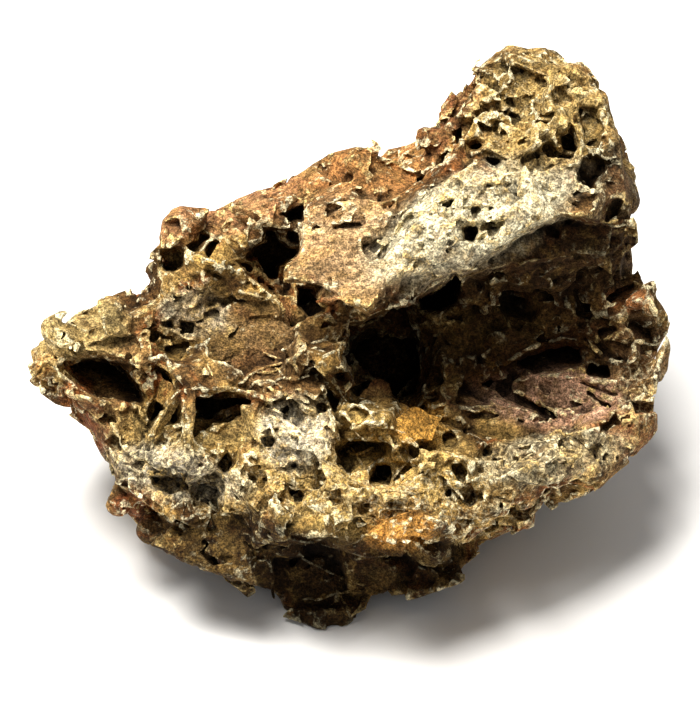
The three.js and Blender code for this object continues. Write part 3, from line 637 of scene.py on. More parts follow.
class Cells:
    """Seeds scattered over a block of space, one in each box of a lattice."""

    def __init__(self, low, high, size, seed):
        self.size = size
        self.low = (low - BOXES_BEYOND * size).astype(np.float32)
        self.counts = np.ceil((high - low) / size).astype(int) + 2 * BOXES_BEYOND
        self.random = np.random.default_rng(seed)
        places = np.stack(np.meshgrid(*[np.arange(n) for n in self.counts], indexing="ij"), -1)
        places = places.reshape(-1, 3)
        jitter = self.random.uniform(*SEED_SPREAD, places.shape)
        self.seeds = (self.low + (places + jitter) * size).astype(np.float32)
        steps = np.array([(x, y, z) for x in (-1, 0, 1) for y in (-1, 0, 1) for z in (-1, 0, 1)])
        self.steps = self.flat(steps)

    def flat(self, places):
        rows = places[:, 0] * self.counts[1] + places[:, 1]
        return (rows * self.counts[2] + places[:, 2]).astype(np.int32)

    def chunk(self, points):
        home = self.flat(((points - self.low) / self.size).astype(np.int32))
        first = np.full(len(points), FAR, np.float32)
        second = first.copy()
        first_seed = np.zeros(len(points), np.int32)
        second_seed = first_seed.copy()
        for step in self.steps:
            seed = home + step
            gap = points - self.seeds[seed]
            far = np.einsum("ij,ij->i", gap, gap)
            nearer = far < first
            runner_up = ~nearer & (far < second)
            second = np.where(nearer, first, np.where(runner_up, far, second))
            second_seed = np.where(nearer, first_seed, np.where(runner_up, seed, second_seed))
            first = np.where(nearer, far, first)
            first_seed = np.where(nearer, seed, first_seed)
        apart = self.seeds[first_seed] - self.seeds[second_seed]
        border = (second - first) / (2 * np.sqrt(np.einsum("ij,ij->i", apart, apart)) + TINY)
        return np.sqrt(first), border, first_seed

    def nearest(self, points):
        """Distance to the nearest seed, distance to its cell's border, and the seed's number."""
        return in_chunks(self.chunk, points)


def smoothstep(value, low, high):
    share = np.clip((value - low) / (high - low), 0, 1)
    return share * share * (3 - 2 * share)


def face_places(points):
    """Where points are on the show face, as seen from its front: right, up and out, in millimetres."""
    right, up, out = ((points - FACE_MIDDLE) @ FACE_AXES.T).T
    nearer = VIEW_DISTANCE / (VIEW_DISTANCE - out)
    return right * nearer, up * nearer, out


def face_spots(places):
    """Points of space at places on the show face: right, up and out."""
    places = places.copy()
    places[:, :2] *= (VIEW_DISTANCE - places[:, 2:]) / VIEW_DISTANCE
    return places @ FACE_AXES + FACE_MIDDLE


def laid_out(places):
    """Layout steps as places on the show face, in millimetres right and up."""
    steps = np.array(places, float)
    return (steps - LAYOUT_MIDDLE) * (LAYOUT_STEP, -LAYOUT_STEP)


def panel_share(places, centre, half, turn):
    """How far places lie in an oval panel of the show face, from 0 outside to 1 well inside."""
    right, up, out = places
    angle = math.radians(turn)
    x = (right - centre[0]) * math.cos(angle) + (up - centre[1]) * math.sin(angle)
    y = (up - centre[1]) * math.cos(angle) - (right - centre[0]) * math.sin(angle)
    away = np.hypot(x / half[0], y / half[1])
    inner, outer = PANEL_FADE
    return smoothstep(-away, -outer, -inner) * smoothstep(out, *FACE_FADE)


def panel_value(points, panels, rest):
    """A value that is set by panels of the show face, and is the same elsewhere."""
    places = face_places(points)
    value = np.full(len(points), rest, np.float32)
    for centre, half, turn, there in panels:
        share = panel_share(places, centre, half, turn)
        value += (there - value) * share
    return value


def split_edges(work, lengths):
    """Halves the edges of a mesh that are longer than each length in turn, in metres."""
    for longest in lengths:
        long_edges = [e for e in work.edges if e.calc_length() > longest]
        bmesh.ops.subdivide_edges(work, edges=long_edges, cuts=1)
        bmesh.ops.triangulate(work, faces=work.faces)


def merged_copy(node):
    """The corners, in millimetres, and triangles of a node, with its facets split and warped."""
    work = bmesh.new()
    work.from_mesh(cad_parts[node].data)
    bmesh.ops.remove_doubles(work, verts=work.verts, dist=TINY)
    split_edges(work, COPY_EDGES)
    corners = np.array([v.co for v in work.verts], np.float32) / MM
    triangles = np.array([[v.index for v in f.verts] for f in work.faces], np.uint32)
    work.free()
    shift = shifts(corners, WARP_LUMPS, WARP_SEED, 0)
    shift[:, 2] *= smoothstep(corners[:, 2], 0, WARP_FOOT)
    return corners + shift, triangles


class Block:
    """A block of space round the stone: the distance to its surface at each voxel, in millimetres."""

    def __init__(self, corners, triangles, voxel):
        self.voxel = voxel
        self.transform = openvdb.createLinearTransform(voxelSize=voxel)
        self.first = np.floor(corners.min(0) / voxel).astype(int) - BLOCK_MARGIN
        shape = np.ceil(corners.max(0) / voxel).astype(int) + BLOCK_MARGIN - self.first
        grid = openvdb.FloatGrid.createLevelSetFromPolygons(
            corners.astype(np.float32),
            triangles=triangles,
            transform=self.transform,
            exBandWidth=OUTER_BAND,
            inBandWidth=DEEPEST_CUT / voxel,
        )
        self.distance = np.empty(shape, np.float32)
        grid.copyToArray(self.distance, ijk=tuple(int(i) for i in self.first))

    def places(self, chosen):
        """The middles of chosen voxels."""
        index = np.stack(np.unravel_index(chosen, self.distance.shape), -1)
        return ((index + self.first) * self.voxel).astype(np.float32)

    def within(self, low, high):
        """Voxels whose distance to the surface is between two values."""
        return np.flatnonzero((self.distance > low) & (self.distance < high))

    def cut_out(self, cuts):
        """Takes away what each cut says of its voxels."""
        values = self.distance.ravel()
        for chosen, cut in cuts:
            values[chosen] = np.maximum(values[chosen], cut)

    def sample(self, values, points):
        """Values of the block at points, blended between voxels."""
        place = points / self.voxel - self.first
        base = np.clip(np.floor(place).astype(np.int32), 0, np.array(values.shape) - 2)
        share = (place - base).astype(np.float32)
        total = np.zeros(len(points), np.float32)
        for corner in np.ndindex(2, 2, 2):
            weight = np.prod(np.where(corner, share, 1 - share), axis=1)
            total += weight * values[tuple((base + corner).T)]
        return total

    def skin_out(self, points):
        """How far out the skin is at points of the show face."""
        out = np.arange(SKIN_REACH, -SKIN_REACH, -SKIN_STEP)
        places = np.empty((len(points), len(out), 3))
        places[..., :2] = points[:, None, :]
        places[..., 2] = out
        distance = self.sample(self.distance, face_spots(places.reshape(-1, 3)))
        return out[(distance.reshape(len(points), len(out)) < 0).argmax(axis=1)]

    def surface(self):
        """Corners in millimetres, triangles and quads of the surface."""
        grid = openvdb.FloatGrid(float(self.distance.max()))
        grid.copyFromArray(self.distance, ijk=tuple(int(i) for i in self.first))
        grid.transform = self.transform
        corners, triangles, quads = grid.convertToPolygons(isovalue=0.0, adaptivity=0.0)
        return corners, triangles.reshape(-1, 3), quads.reshape(-1, 4)


def add_knobs(block):
    """Adds the knobs at the edge of the show face."""
    for middle, anchor, radius in KNOBS:
        out = block.skin_out(laid_out([anchor]))[0] - KNOB_SINK * radius
        spot = face_spots(np.array([[*laid_out(middle), out]]))[0]
        low = np.floor((spot - radius - KNOB_MARGIN) / block.voxel).astype(int) - block.first
        high = np.ceil((spot + radius + KNOB_MARGIN) / block.voxel).astype(int) - block.first
        box = tuple(slice(max(a, 0), b) for a, b in zip(low, high))
        part = block.distance[box]
        rows = [np.arange(side.start, side.start + count) for side, count in zip(box, part.shape)]
        index = np.stack(np.meshgrid(*rows, indexing="ij"), -1)
        away = np.linalg.norm((index + block.first) * block.voxel - spot, axis=-1) - radius
        blend = np.clip(0.5 + 0.5 * (part - away) / KNOB_BLEND, 0, 1).astype(np.float32)
        part += (away - part) * blend - KNOB_BLEND * blend * (1 - blend)


def from_line(right, up, start, end):
    """Distance of places from a line between two points."""
    run = end - start
    share = np.clip(((right - start[0]) * run[0] + (up - start[1]) * run[1]) / (run @ run), 0, 1)
    return np.hypot(right - start[0] - share * run[0], up - start[1] - share * run[1])


def inside_outline(right, up, outline):
    """How far places lie inside an outline, less than 0 outside it."""
    inside = np.zeros(len(right), bool)
    nearest = np.full(len(right), FAR, np.float32)
    for start, end in zip(outline, np.roll(outline, -1, axis=0)):
        nearest = np.minimum(nearest, from_line(right, up, start, end))
        rise = end[1] - start[1]
        if rise:
            crossing = start[0] + (up - start[1]) * (end[0] - start[0]) / rise
            inside ^= ((start[1] > up) != (end[1] > up)) & (right < crossing)
    return np.where(inside, nearest, -nearest)


class Face:
    """The show face of a block, seen from its front."""

    def __init__(self, block):
        self.block = block
        self.values = block.distance.ravel()
        chosen = block.within(*FACE_BAND)
        right, up, out = face_places(block.places(chosen))
        order = np.flatnonzero(out > FACE_BACK)
        order = order[np.argsort(right[order])]
        self.chosen = chosen[order]
        self.right = right[order].astype(np.float32)
        self.up = up[order].astype(np.float32)
        self.out = out[order].astype(np.float32)

    def near(self, points, margin):
        """Voxels round points of the face."""
        low = points.min(0) - margin
        high = points.max(0) + margin
        first, last = np.searchsorted(self.right, (low[0], high[0]))
        up = self.up[first:last]
        return first + np.flatnonzero((up > low[1]) & (up < high[1]))

    def plane(self, outline):
        """A plane along the skin in an outline: its middle, how far out it is there, and its slopes."""
        middle = outline.mean(0)
        rings = [middle + ring * (outline - middle) for ring in PLANE_RINGS]
        points = np.concatenate([middle[None], *rings])
        out = self.block.skin_out(points)
        usual = np.median(out)
        level = np.abs(out - usual) < PLANE_UNEVEN
        if level.sum() < PLANE_POINTS:
            return middle, usual, np.zeros(2)
        sides = np.concatenate([points[level] - middle, np.ones((level.sum(), 1))], axis=1)
        fit = np.linalg.lstsq(sides, out[level], rcond=None)[0]
        return middle, fit[2], np.clip(fit[:2], -PLANE_SLOPE, PLANE_SLOPE)

    def ragged(self, near):
        """Uneven edges for what is cut into the face."""
        return lumps(self.block.places(self.chosen[near]), RAGGED_LUMPS, RAGGED_SEED)

    def inside(self, near, outline):
        """How far voxels lie inside an outline with ragged edges."""
        return inside_outline(self.right[near], self.up[near], outline) + self.ragged(near)

    def heights(self, near, plane):
        """How far voxels stand out of a plane."""
        middle, out, slope = plane
        level = out + (self.right[near] - middle[0]) * slope[0] + (self.up[near] - middle[1]) * slope[1]
        return self.out[near] - level

    def flatten(self, outline, plane, rise):
        """Brings the skin in an outline to a plane."""
        near = self.near(outline, OUTLINE_MARGIN)
        inside = self.inside(near, outline)
        height = self.heights(near, plane) - rise
        inner, outer = PLATE_REACH
        share = smoothstep(inside, 0, PLATE_EDGE) * smoothstep(-np.abs(height), -outer, -inner)
        level = height / math.sqrt(1 + plane[2] @ plane[2])
        chosen = self.chosen[near]
        self.values[chosen] += (level - self.values[chosen]) * share

    def hollow(self, outline, plane, depth, across, down):
        """Cuts a hollow with a level or slanting floor into the skin."""
        near = self.near(outline, OUTLINE_MARGIN)
        inside = self.inside(near, outline)
        height = self.heights(near, plane)
        middle = plane[0]
        floor = (self.right[near] - middle[0]) * across - (self.up[near] - middle[1]) * down - depth
        taper = np.clip(-height, 0, depth) * HOLLOW_TAPER
        cut = np.minimum(inside - taper, (height - np.minimum(floor, -HOLLOW_LEAST)) * HOLLOW_FLOOR)
        self.block.cut_out([(self.chosen[near], cut)])

    def vein(self, run, width, height):
        """Raises a vein on the skin."""
        near = self.near(run, width)
        away = np.full(len(near), FAR, np.float32)
        for start, end in zip(run[:-1], run[1:]):
            away = np.minimum(away, from_line(self.right[near], self.up[near], start, end))
        away += VEIN_RAGGED * self.ragged(near)
        self.values[self.chosen[near]] -= height * smoothstep(-away, -width, -VEIN_CREST * width)


def lay_out(block):
    """Gives the show face its plates, hollows and veins."""
    face = Face(block)
    plates = [(laid_out(outline), rise) for outline, rise in PLATES]
    planes = [face.plane(outline) for outline, _ in plates]
    for (outline, rise), plane in zip(plates, planes):
        face.flatten(outline, plane, rise)
    hollows = [(laid_out(outline), floor) for outline, *floor in HOLLOWS]
    planes = [face.plane(outline) for outline, _ in hollows]
    for (outline, floor), plane in zip(hollows, planes):
        face.hollow(outline, plane, *floor)
    for run, width, height in VEINS:
        face.vein(laid_out(run), width, height)


def tilted_planes(block, cells, tilt):
    """A plane for each seed, along the skin near it but tilted, and the seed's distance from the skin."""
    seeds = cells.seeds
    steps = SLOPE_STEP * np.eye(3, dtype=np.float32)
    ahead = [block.sample(block.distance, seeds + step) for step in steps]
    behind = [block.sample(block.distance, seeds - step) for step in steps]
    slope = np.stack(ahead, -1) - np.stack(behind, -1)
    slope /= np.linalg.norm(slope, axis=1, keepdims=True) + TINY
    slope += cells.random.normal(0, tilt / math.sqrt(3), slope.shape)
    slope /= np.linalg.norm(slope, axis=1, keepdims=True)
    return slope.astype(np.float32), block.sample(block.distance, seeds)


def above_planes(points, cells, seed, planes):
    """How far points lie above the tilted planes of their seeds."""
    slope, from_skin = planes
    return np.einsum("ij,ij->i", points - cells.seeds[seed], slope[seed]) + from_skin[seed]


def open_cells(block, layer):
    """Angular cells that open into the skin, with thin walls left between them."""
    low, high = layer["depth"]
    chosen = block.within(-CELL_ROOM * high - CELL_BELOW, CELL_ABOVE)
    points = block.places(chosen)
    cells = Cells(points.min(0), points.max(0), layer["size"], layer["seed"])
    count = len(cells.seeds)
    planes = tilted_planes(block, cells, CELL_TILT)
    share = panel_value(cells.seeds, *layer["where"]) * layer["share"]
    opens = cells.random.uniform(0, 1, count) < share
    depth = cells.random.uniform(low, high, count).astype(np.float32)
    _, border, seed = cells.nearest(points)
    rough = Noise(layer["seed"] + WALL_SEED)(points, layer["size"] * WALL_LUMP)
    wall = layer["wall"] * (1 + WALL_UNEVEN * rough)
    skin = block.distance.ravel()[chosen]
    height = above_planes(points, cells, seed, planes)
    floor = np.minimum(height + depth[seed] * CELL_FLOOR, skin + depth[seed])
    cut = np.minimum(border - wall / 2, floor)
    return chosen, np.where(opens[seed], cut, NO_CUT)


def chip(block, layer):
    """Flat tilted chips with sharp edges, to which the skin is cut back."""
    chosen = block.within(*CHIP_BAND)
    points = block.places(chosen)
    cells = Cells(points.min(0), points.max(0), layer["size"], layer["seed"])
    planes = tilted_planes(block, cells, layer["tilt"])
    depth = cells.random.uniform(*layer["depth"], len(cells.seeds)).astype(np.float32)
    depth = np.where(np.abs(planes[1]) < CHIP_REACH * layer["size"], depth, NO_CUT)
    _, _, seed = cells.nearest(points)
    return chosen, above_planes(points, cells, seed, planes) + depth[seed]


def open_pores(block):
    """Small round pores where the skin is a crust."""
    chosen = block.within(*PORE_BAND)
    points = block.places(chosen)
    cells = Cells(points.min(0), points.max(0), PORES["size"], PORES["seed"])
    count = len(cells.seeds)
    share = panel_value(cells.seeds, *CRUST_PLACES) * PORES["share"]
    opens = cells.random.uniform(0, 1, count) < share
    radius = cells.random.uniform(*PORES["radius"], count).astype(np.float32) * opens
    away, _, seed = cells.nearest(points)
    return chosen, radius[seed] - away


def roughen(block):
    """Adds the lumps of the skin."""
    chosen = block.within(*LUMP_BAND)
    values = block.distance.ravel()
    values[chosen] += lumps(block.places(chosen), SKIN_LUMPS, SKIN_SEED)


def weather(block):
    """Breaks the skin into facets, opens its cells and pores, roughens it and levels its foot."""
    add_knobs(block)
    for layer in CHIP_LAYERS:
        block.cut_out([chip(block, layer)])
    block.cut_out([open_cells(block, layer) for layer in CELL_LAYERS])
    lay_out(block)
    block.cut_out([open_cells(block, CRUST_CELLS), open_pores(block)])
    roughen(block)
    height = (np.arange(block.distance.shape[2]) + block.first[2]) * block.voxel
    np.maximum(block.distance, -height.astype(np.float32), out=block.distance)


def largest_island(count, triangles, quads):
    """Which corners belong to the largest connected piece of a surface."""
    loops = [(triangles, 3), (quads, 4)]
    edges = np.concatenate([np.stack([f[:, i], f[:, (i + 1) % n]], -1) for f, n in loops for i in range(n)])
    label = np.arange(count)
    while True:
        low = np.minimum(label[edges[:, 0]], label[edges[:, 1]])
        new = label.copy()
        np.minimum.at(new, edges[:, 0], low)
        np.minimum.at(new, edges[:, 1], low)
        new = new[new[new]]
        if (new == label).all():
            break
        label = new
    return label == np.bincount(label).argmax()


def mesh_from(name, corners, triangles, quads):
    """A mesh in metres from corners in millimetres and their faces."""
    mesh = bpy.data.meshes.new(name)
    mesh.vertices.add(len(corners))
    mesh.vertices.foreach_set("co", (corners * MM).astype(np.float32).ravel())
    mesh.loops.add(triangles.size + quads.size)
    around = np.concatenate([triangles.ravel(), quads.ravel()])
    mesh.loops.foreach_set("vertex_index", around.astype(np.int32))
    starts = np.concatenate([np.arange(len(triangles)) * 3, triangles.size + np.arange(len(quads)) * 4])
    mesh.polygons.add(len(starts))
    mesh.polygons.foreach_set("loop_start", starts.astype(np.int32))
    mesh.update(calc_edges=True)
    mesh.validate()
    return mesh


def kept_faces(faces, keep):
    """Faces among kept corners, with the corners numbered anew and the faces turned outward."""
    number = np.cumsum(keep) - 1
    return number[faces[keep[faces].all(axis=1)]][:, ::-1]


def placed(name, mesh):
    """A new object in the scene."""
    piece = bpy.data.objects.new(name, mesh)
    bpy.context.scene.collection.objects.link(piece)
    return piece


def surface_object(block):
    """The block's surface as an object, without loose crumbs."""
    corners, triangles, quads = block.surface()
    keep = largest_island(len(corners), triangles, quads)
    mesh = mesh_from(PIECE, corners[keep], kept_faces(triangles, keep), kept_faces(quads, keep))
    return placed(PIECE, mesh)


def mesh_values(mesh, kind):
    """The places or the normals of a mesh's corners."""
    values = np.empty(len(mesh.vertices) * 3, np.float32)
    mesh.vertices.foreach_get(kind, values)
    return values.reshape(-1, 3)


def facet_count(mesh, chosen):
    """How many triangles of a mesh lie among chosen corners."""
    mesh.calc_loop_triangles()
    corners = np.empty(len(mesh.loop_triangles) * 3, np.int32)
    mesh.loop_triangles.foreach_get("vertices", corners)
    return chosen[corners].reshape(-1, 3).all(axis=1).sum()


def thin_part(piece, chosen, surplus):
    """Takes away a surplus of facets among chosen corners, flat places first."""
    mesh = piece.data
    group = piece.vertex_groups.new(name="thinned")
    group.add(np.flatnonzero(chosen).tolist(), 1.0, "REPLACE")
    thinning = piece.modifiers.new("thinning", "DECIMATE")
    thinning.ratio = 1 - surplus / len(mesh.loop_triangles)
    thinning.use_collapse_triangulate = True
    thinning.vertex_group = group.name
    thinning.vertex_group_factor = 1.0
    graph = bpy.context.evaluated_depsgraph_get()
    thin = bpy.data.meshes.new_from_object(piece.evaluated_get(graph))
    piece.modifiers.clear()
    piece.vertex_groups.clear()
    piece.data = thin
    bpy.data.meshes.remove(mesh)
    thin.name = PIECE


def in_front(mesh):
    """Which corners of a mesh belong to the front part of the stone."""
    _, _, out = face_places(mesh_values(mesh, "co") / MM)
    return out > FRONT_FROM


def thin_out(piece):
    """Leaves only the facets that the shape needs, most of them on the front part."""
    rest = ~in_front(piece.data)
    thin_part(piece, rest, facet_count(piece.data, rest) - REST_FACETS)
    everywhere = np.ones(len(piece.data.vertices), bool)
    thin_part(piece, in_front(piece.data), facet_count(piece.data, everywhere) - ALL_FACETS)


def sharpen(mesh):
    """Smooths a mesh, but keeps the edges of its facets sharp."""
    mesh.shade_smooth()
    mesh.set_sharp_from_angle(angle=FACET_ANGLE)


def roughen_facets(mesh):
    """Moves the corners of the facets in and out, less so near the foot."""
    corners = mesh_values(mesh, "co") / MM
    rise = lumps(corners, GRIT_LUMPS, GRIT_SEED)
    rise *= smoothstep(corners[:, 2], *GRIT_FOOT)
    moved = (corners + mesh_values(mesh, "normal") * rise[:, None]) * MM
    mesh.vertices.foreach_set("co", moved.astype(np.float32).ravel())
    mesh.update()


def blurred(values, reach):
    """Values averaged over a box of this reach in voxels, twice over, which is close to a soft ball."""
    for axis in (0, 1, 2) * 2:
        before = np.repeat(np.take(values, [0], axis), reach + 1, axis)
        after = np.repeat(np.take(values, [-1], axis), reach, axis)
        padded = np.concatenate([before, values, after], axis)
        total = np.cumsum(padded, axis=axis, dtype=np.float32)
        count = values.shape[axis]
        width = 2 * reach + 1
        high = np.take(total, np.arange(width, width + count), axis)
        low = np.take(total, np.arange(0, count), axis)
        values = (high - low) / width
    return values


def relief(block, points):
    """How far the skin stands out of its neighbourhood, from 0 in a hollow to 1 on a crest, at each reach."""
    solid = np.clip(0.5 - block.distance / block.voxel, 0, 1)
    found = {}
    for name, reach in RELIEF_REACH.items():
        soft = blurred(solid, max(1, round(reach / block.voxel / 2)))
        found[name] = np.clip(1 - block.sample(soft, points), 0, 1)
    return found


def tints_with_painted_light_and_shade(points):
    """Colour and strength of the show face's tints, with their painted light and shade, at points."""
    places = face_places(points)
    colour = np.zeros((len(points), 4), np.float32)
    for centre, half, turn, tint_with_painted_light_and_shade, strength in TINTS_WITH_PAINTED_LIGHT_AND_SHADE:
        share = panel_share(places, centre, half, turn) * strength
        cover = np.where(colour[:, 3] > 0, share, share > 0)
        colour[:, :3] += (np.array(tint_with_painted_light_and_shade) - colour[:, :3]) * cover[:, None]
        colour[:, 3] += (1 - colour[:, 3]) * share
    return colour


def keep_values(mesh, values):
    """Keeps values of a mesh's corners with it, and the tints of their places with their painted light and
    shade, for the finish.
    """
    for name, value in values.items():
        whole = np.full(len(mesh.vertices), value, np.float32)
        mesh.attributes.new(name, "FLOAT", "POINT").data.foreach_set("value", whole)
    colours = tints_with_painted_light_and_shade(mesh_values(mesh, "co") / MM)
    mesh.attributes.new("tint_with_painted_light_and_shade", "FLOAT_COLOR", "POINT").data.foreach_set("color", colours.ravel())


class Skin:
    """The finished stone, seen from its front."""

    def __init__(self, piece):
        self.tree = BVHTree.FromObject(piece, bpy.context.evaluated_depsgraph_get())
        self.eye = FACE_MIDDLE + FACE_AXES[2] * VIEW_DISTANCE

    def spots(self, steps, rises):
        """Points of space at layout steps, which stand out of the skin by their rises, in millimetres."""
        targets = face_spots(np.concatenate([laid_out(steps), np.zeros((len(steps), 1))], axis=1))
        found = []
        for target, rise in zip(targets, rises):
            ray = (target - self.eye) / np.linalg.norm(target - self.eye)
            hit = self.tree.ray_cast(Vector(self.eye * MM), Vector(ray))[0]
            place = np.array(hit) / MM if hit else target
            found.append(place - ray * rise)
        return np.array(found)


def evened(spots, gap):
    """Points a gap apart along a line through spots."""
    lengths = np.linalg.norm(np.diff(spots, axis=0), axis=1)
    along = np.concatenate([[0], np.cumsum(lengths)])
    steps = np.linspace(0, along[-1], max(3, int(along[-1] / gap)))
    return np.stack([np.interp(steps, along, column) for column in spots.T], -1)


def unit(vectors):
    return vectors / (np.linalg.norm(vectors, axis=1, keepdims=True) + TINY)


def add_strand(work, spots, number):
    """Adds a stretch of thread to a mesh."""
    usual = np.array([np.mean(spots[max(0, i - 1) : i + 2], axis=0) for i in range(len(spots))])
    spots = usual + shifts(usual, THREAD_STRAY, THREAD_SEED, 0)
    radius = THREAD_RADIUS * (1 + lumps(usual, THREAD_SWELL, SWELL_SEED + number % THREAD_KINDS))
    radius[[0, -1]] *= THREAD_TIP
    ahead = unit(np.gradient(spots, axis=0))
    side = unit(np.cross(ahead, FACE_AXES[2]))
    over = np.cross(side, ahead)
    angles = np.arange(THREAD_SIDES) * 2 * math.pi / THREAD_SIDES
    rings = []
    for spot, wide, high, reach in zip(spots, side, over, radius):
        ring = spot + reach * (np.cos(angles)[:, None] * wide + np.sin(angles)[:, None] * high)
        rings.append([work.verts.new(place * MM) for place in ring])
    for near, far in zip(rings[:-1], rings[1:]):
        for i in range(THREAD_SIDES):
            j = (i + 1) % THREAD_SIDES
            work.faces.new((near[i], near[j], far[j], far[i]))
    work.faces.new(rings[0][::-1])
    work.faces.new(rings[-1])


def add_thread(work, skin, steps, number):
    """Adds one fine thread to a mesh, broken where the skin jumps in or out."""
    run = evened(np.array(steps, float), THREAD_GAP)
    spots = skin.spots(run, np.full(len(run), THREAD_RISE * THREAD_RADIUS))
    jumps = np.linalg.norm(np.diff(spots, axis=0), axis=1) > THREAD_JUMP
    for stretch in np.split(spots, np.flatnonzero(jumps) + 1):
        if len(stretch) >= STRAND_POINTS:
            add_strand(work, stretch, number)


def thicken(sheet):
    """Gives a sheet a back and closes its rim."""
    bmesh.ops.recalc_face_normals(sheet, faces=sheet.faces)
    sheet.normal_update()
    front = sheet.verts[:]
    back = bmesh.ops.duplicate(sheet, geom=sheet.faces[:])
    pairs = [(vertex, back["vert_map"][vertex]) for vertex in front]
    for vertex, copy in pairs:
        copy.co = vertex.co - vertex.normal * FLAKE_THICKNESS * MM
    rim = [edge for edge in sheet.edges if edge.is_boundary]
    bmesh.ops.bridge_loops(sheet, edges=rim)


def add_flake(work, skin, corners):
    """Adds one thin ragged flake to a mesh."""
    corners = np.array(corners, float)
    spots = skin.spots(corners[:, :2], corners[:, 2])
    out = spots @ FACE_AXES[2]
    middle = np.median(out)
    level = np.clip(out, middle - FLAKE_SPREAD, middle + FLAKE_SPREAD)
    spots += (level - out)[:, None] * FACE_AXES[2]
    sheet = bmesh.new()
    sheet.faces.new([sheet.verts.new(spot * MM) for spot in spots])
    bmesh.ops.triangulate(sheet, faces=sheet.faces)
    split_edges(sheet, FLAKE_EDGES)
    places = np.array([v.co for v in sheet.verts], np.float32) / MM
    moved = places + shifts(places, FLAKE_LUMPS, FLAKE_SEED, 3)
    for vertex, place in zip(sheet.verts, moved.tolist()):
        vertex.co = Vector(place) * MM
    thicken(sheet)
    part = bpy.data.meshes.new("flake")
    sheet.to_mesh(part)
    sheet.free()
    work.from_mesh(part)
    bpy.data.meshes.remove(part)


def thin_piece(name, work, values):
    """Makes a mesh a piece that rides with the stone, with its finish and the same values all over."""
    bmesh.ops.recalc_face_normals(work, faces=work.faces)
    mesh = bpy.data.meshes.new(name)
    work.to_mesh(mesh)
    work.free()
    sharpen(mesh)
    piece = placed(name, mesh)
    keep_values(mesh, values)
    mesh.materials.append(bpy.data.materials[FINISH])
    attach(piece, BODY)


class Graph:
    """Adds nodes to a material and links what is given to their inputs."""

    def __init__(self, tree):
        self.tree = tree
        self.place = self.add("ShaderNodeTexCoord", {}, "Object")
        self.noise = {name: self.add_noise(*values) for name, values in FINISH_NOISE.items()}

    def add(self, kind, inputs, output=0, **settings):
        node = self.tree.nodes.new(kind)
        for key, value in settings.items():
            setattr(node, key, value)
        for key, value in inputs.items():
            if isinstance(value, bpy.types.NodeSocket):
                self.tree.links.new(value, node.inputs[key])
            else:
                node.inputs[key].default_value = value
        return node.outputs[output]

    def add_noise(self, size, detail, roughness, distortion):
        """Noise with lumps of this size in metres."""
        inputs = {
            "Vector": self.place,
            "Scale": 1 / size,
            "Detail": detail,
            "Roughness": roughness,
            "Distortion": distortion,
        }
        return self.add("ShaderNodeTexNoise", inputs)

    def attribute(self, name, output="Fac"):
        return self.add("ShaderNodeAttribute", {}, output, attribute_name=name)

    def step(self, name, value):
        """A named smooth step of a value."""
        low, high, start, end = FINISH_STEPS[name]
        inputs = {"Value": value, "From Min": low, "From Max": high, "To Min": start, "To Max": end}
        return self.add("ShaderNodeMapRange", inputs, interpolation_type="SMOOTHSTEP")

    def noise_step(self, name, noise):
        return self.step(name, self.noise[noise])

    def plus(self, a, b):
        return self.add("ShaderNodeMath", {0: a, 1: b}, operation="ADD")

    def times(self, a, b):
        return self.add("ShaderNodeMath", {0: a, 1: b}, operation="MULTIPLY")

    def mix(self, share, a, b, blend="MIX"):
        inputs = {0: share, 6: a, 7: b}
        return self.add("ShaderNodeMix", inputs, 2, data_type="RGBA", blend_type=blend)

    def vector(self, operation, inputs):
        return self.add("ShaderNodeVectorMath", inputs, operation=operation)

    def scaled(self, colour, value):
        """A colour made darker or lighter by a value."""
        return self.vector("SCALE", {0: colour, "Scale": value})


def stained_tint(graph, colours):
    """The tints of the stone's places, with their painted light and shade, and ochre stains."""
    tint_with_painted_light_and_shade = graph.attribute("tint_with_painted_light_and_shade", "Color")
    stain = graph.mix(STAIN_SHARE, colours.ochre, tint_with_painted_light_and_shade, "MULTIPLY")
    return graph.mix(graph.noise_step("stain", "stain"), tint_with_painted_light_and_shade, stain)


def clay_colour(graph, colours, tint_with_painted_light_and_shade):
    """Patches of the stone's own colours under its tints, with painted shade in the hollows and deep recesses
    that also stands for darker stone there.
    """
    colour = graph.mix(graph.noise_step("brown", "patch"), colours.umber, colours.brown)
    colour = graph.mix(graph.noise_step("ochre", "broad"), colour, colours.ochre)
    colour = graph.mix(graph.noise_step("rust", "rust"), colour, colours.rust)
    cover = graph.times(graph.attribute("tint_with_painted_light_and_shade", "Alpha"), graph.noise_step("tint_with_painted_light_and_shade", "lump"))
    colour = graph.mix(cover, colour, tint_with_painted_light_and_shade)
    colour = graph.scaled(colour, graph.noise_step("lump", "lump"))
    # Painted shade, partly darker stone: the colour darkens in hollows and deep recesses
    for name in ("hollow", "depth"):
        colour = graph.scaled(colour, graph.step(name, graph.attribute(name)))
    return colour


def pale_colour(graph, colours, tint_with_painted_light_and_shade):
    """Colour of the pale crust, dimmed with painted shade where the tint and its painted shade are dark."""
    pale = graph.mix(graph.noise_step("sand crust", "patch"), colours.cream, colours.sand)
    dark = graph.step("dim", graph.add("ShaderNodeRGBToBW", {"Color": tint_with_painted_light_and_shade}))
    # Painted shade: the pale crust is dimmed by the dark tint
    dim = graph.times(dark, graph.attribute("tint_with_painted_light_and_shade", "Alpha"))
    return graph.scaled(pale, graph.plus(dim, 1.0))


def bleached(graph, colour, pale, unshaded):
    """A colour with pale crests, which fade with painted shade deep in recesses."""
    edge = graph.plus(graph.attribute("crest"), graph.noise_step("crest edge", "crust"))
    return graph.mix(graph.times(graph.step("crest", edge), unshaded), colour, pale)


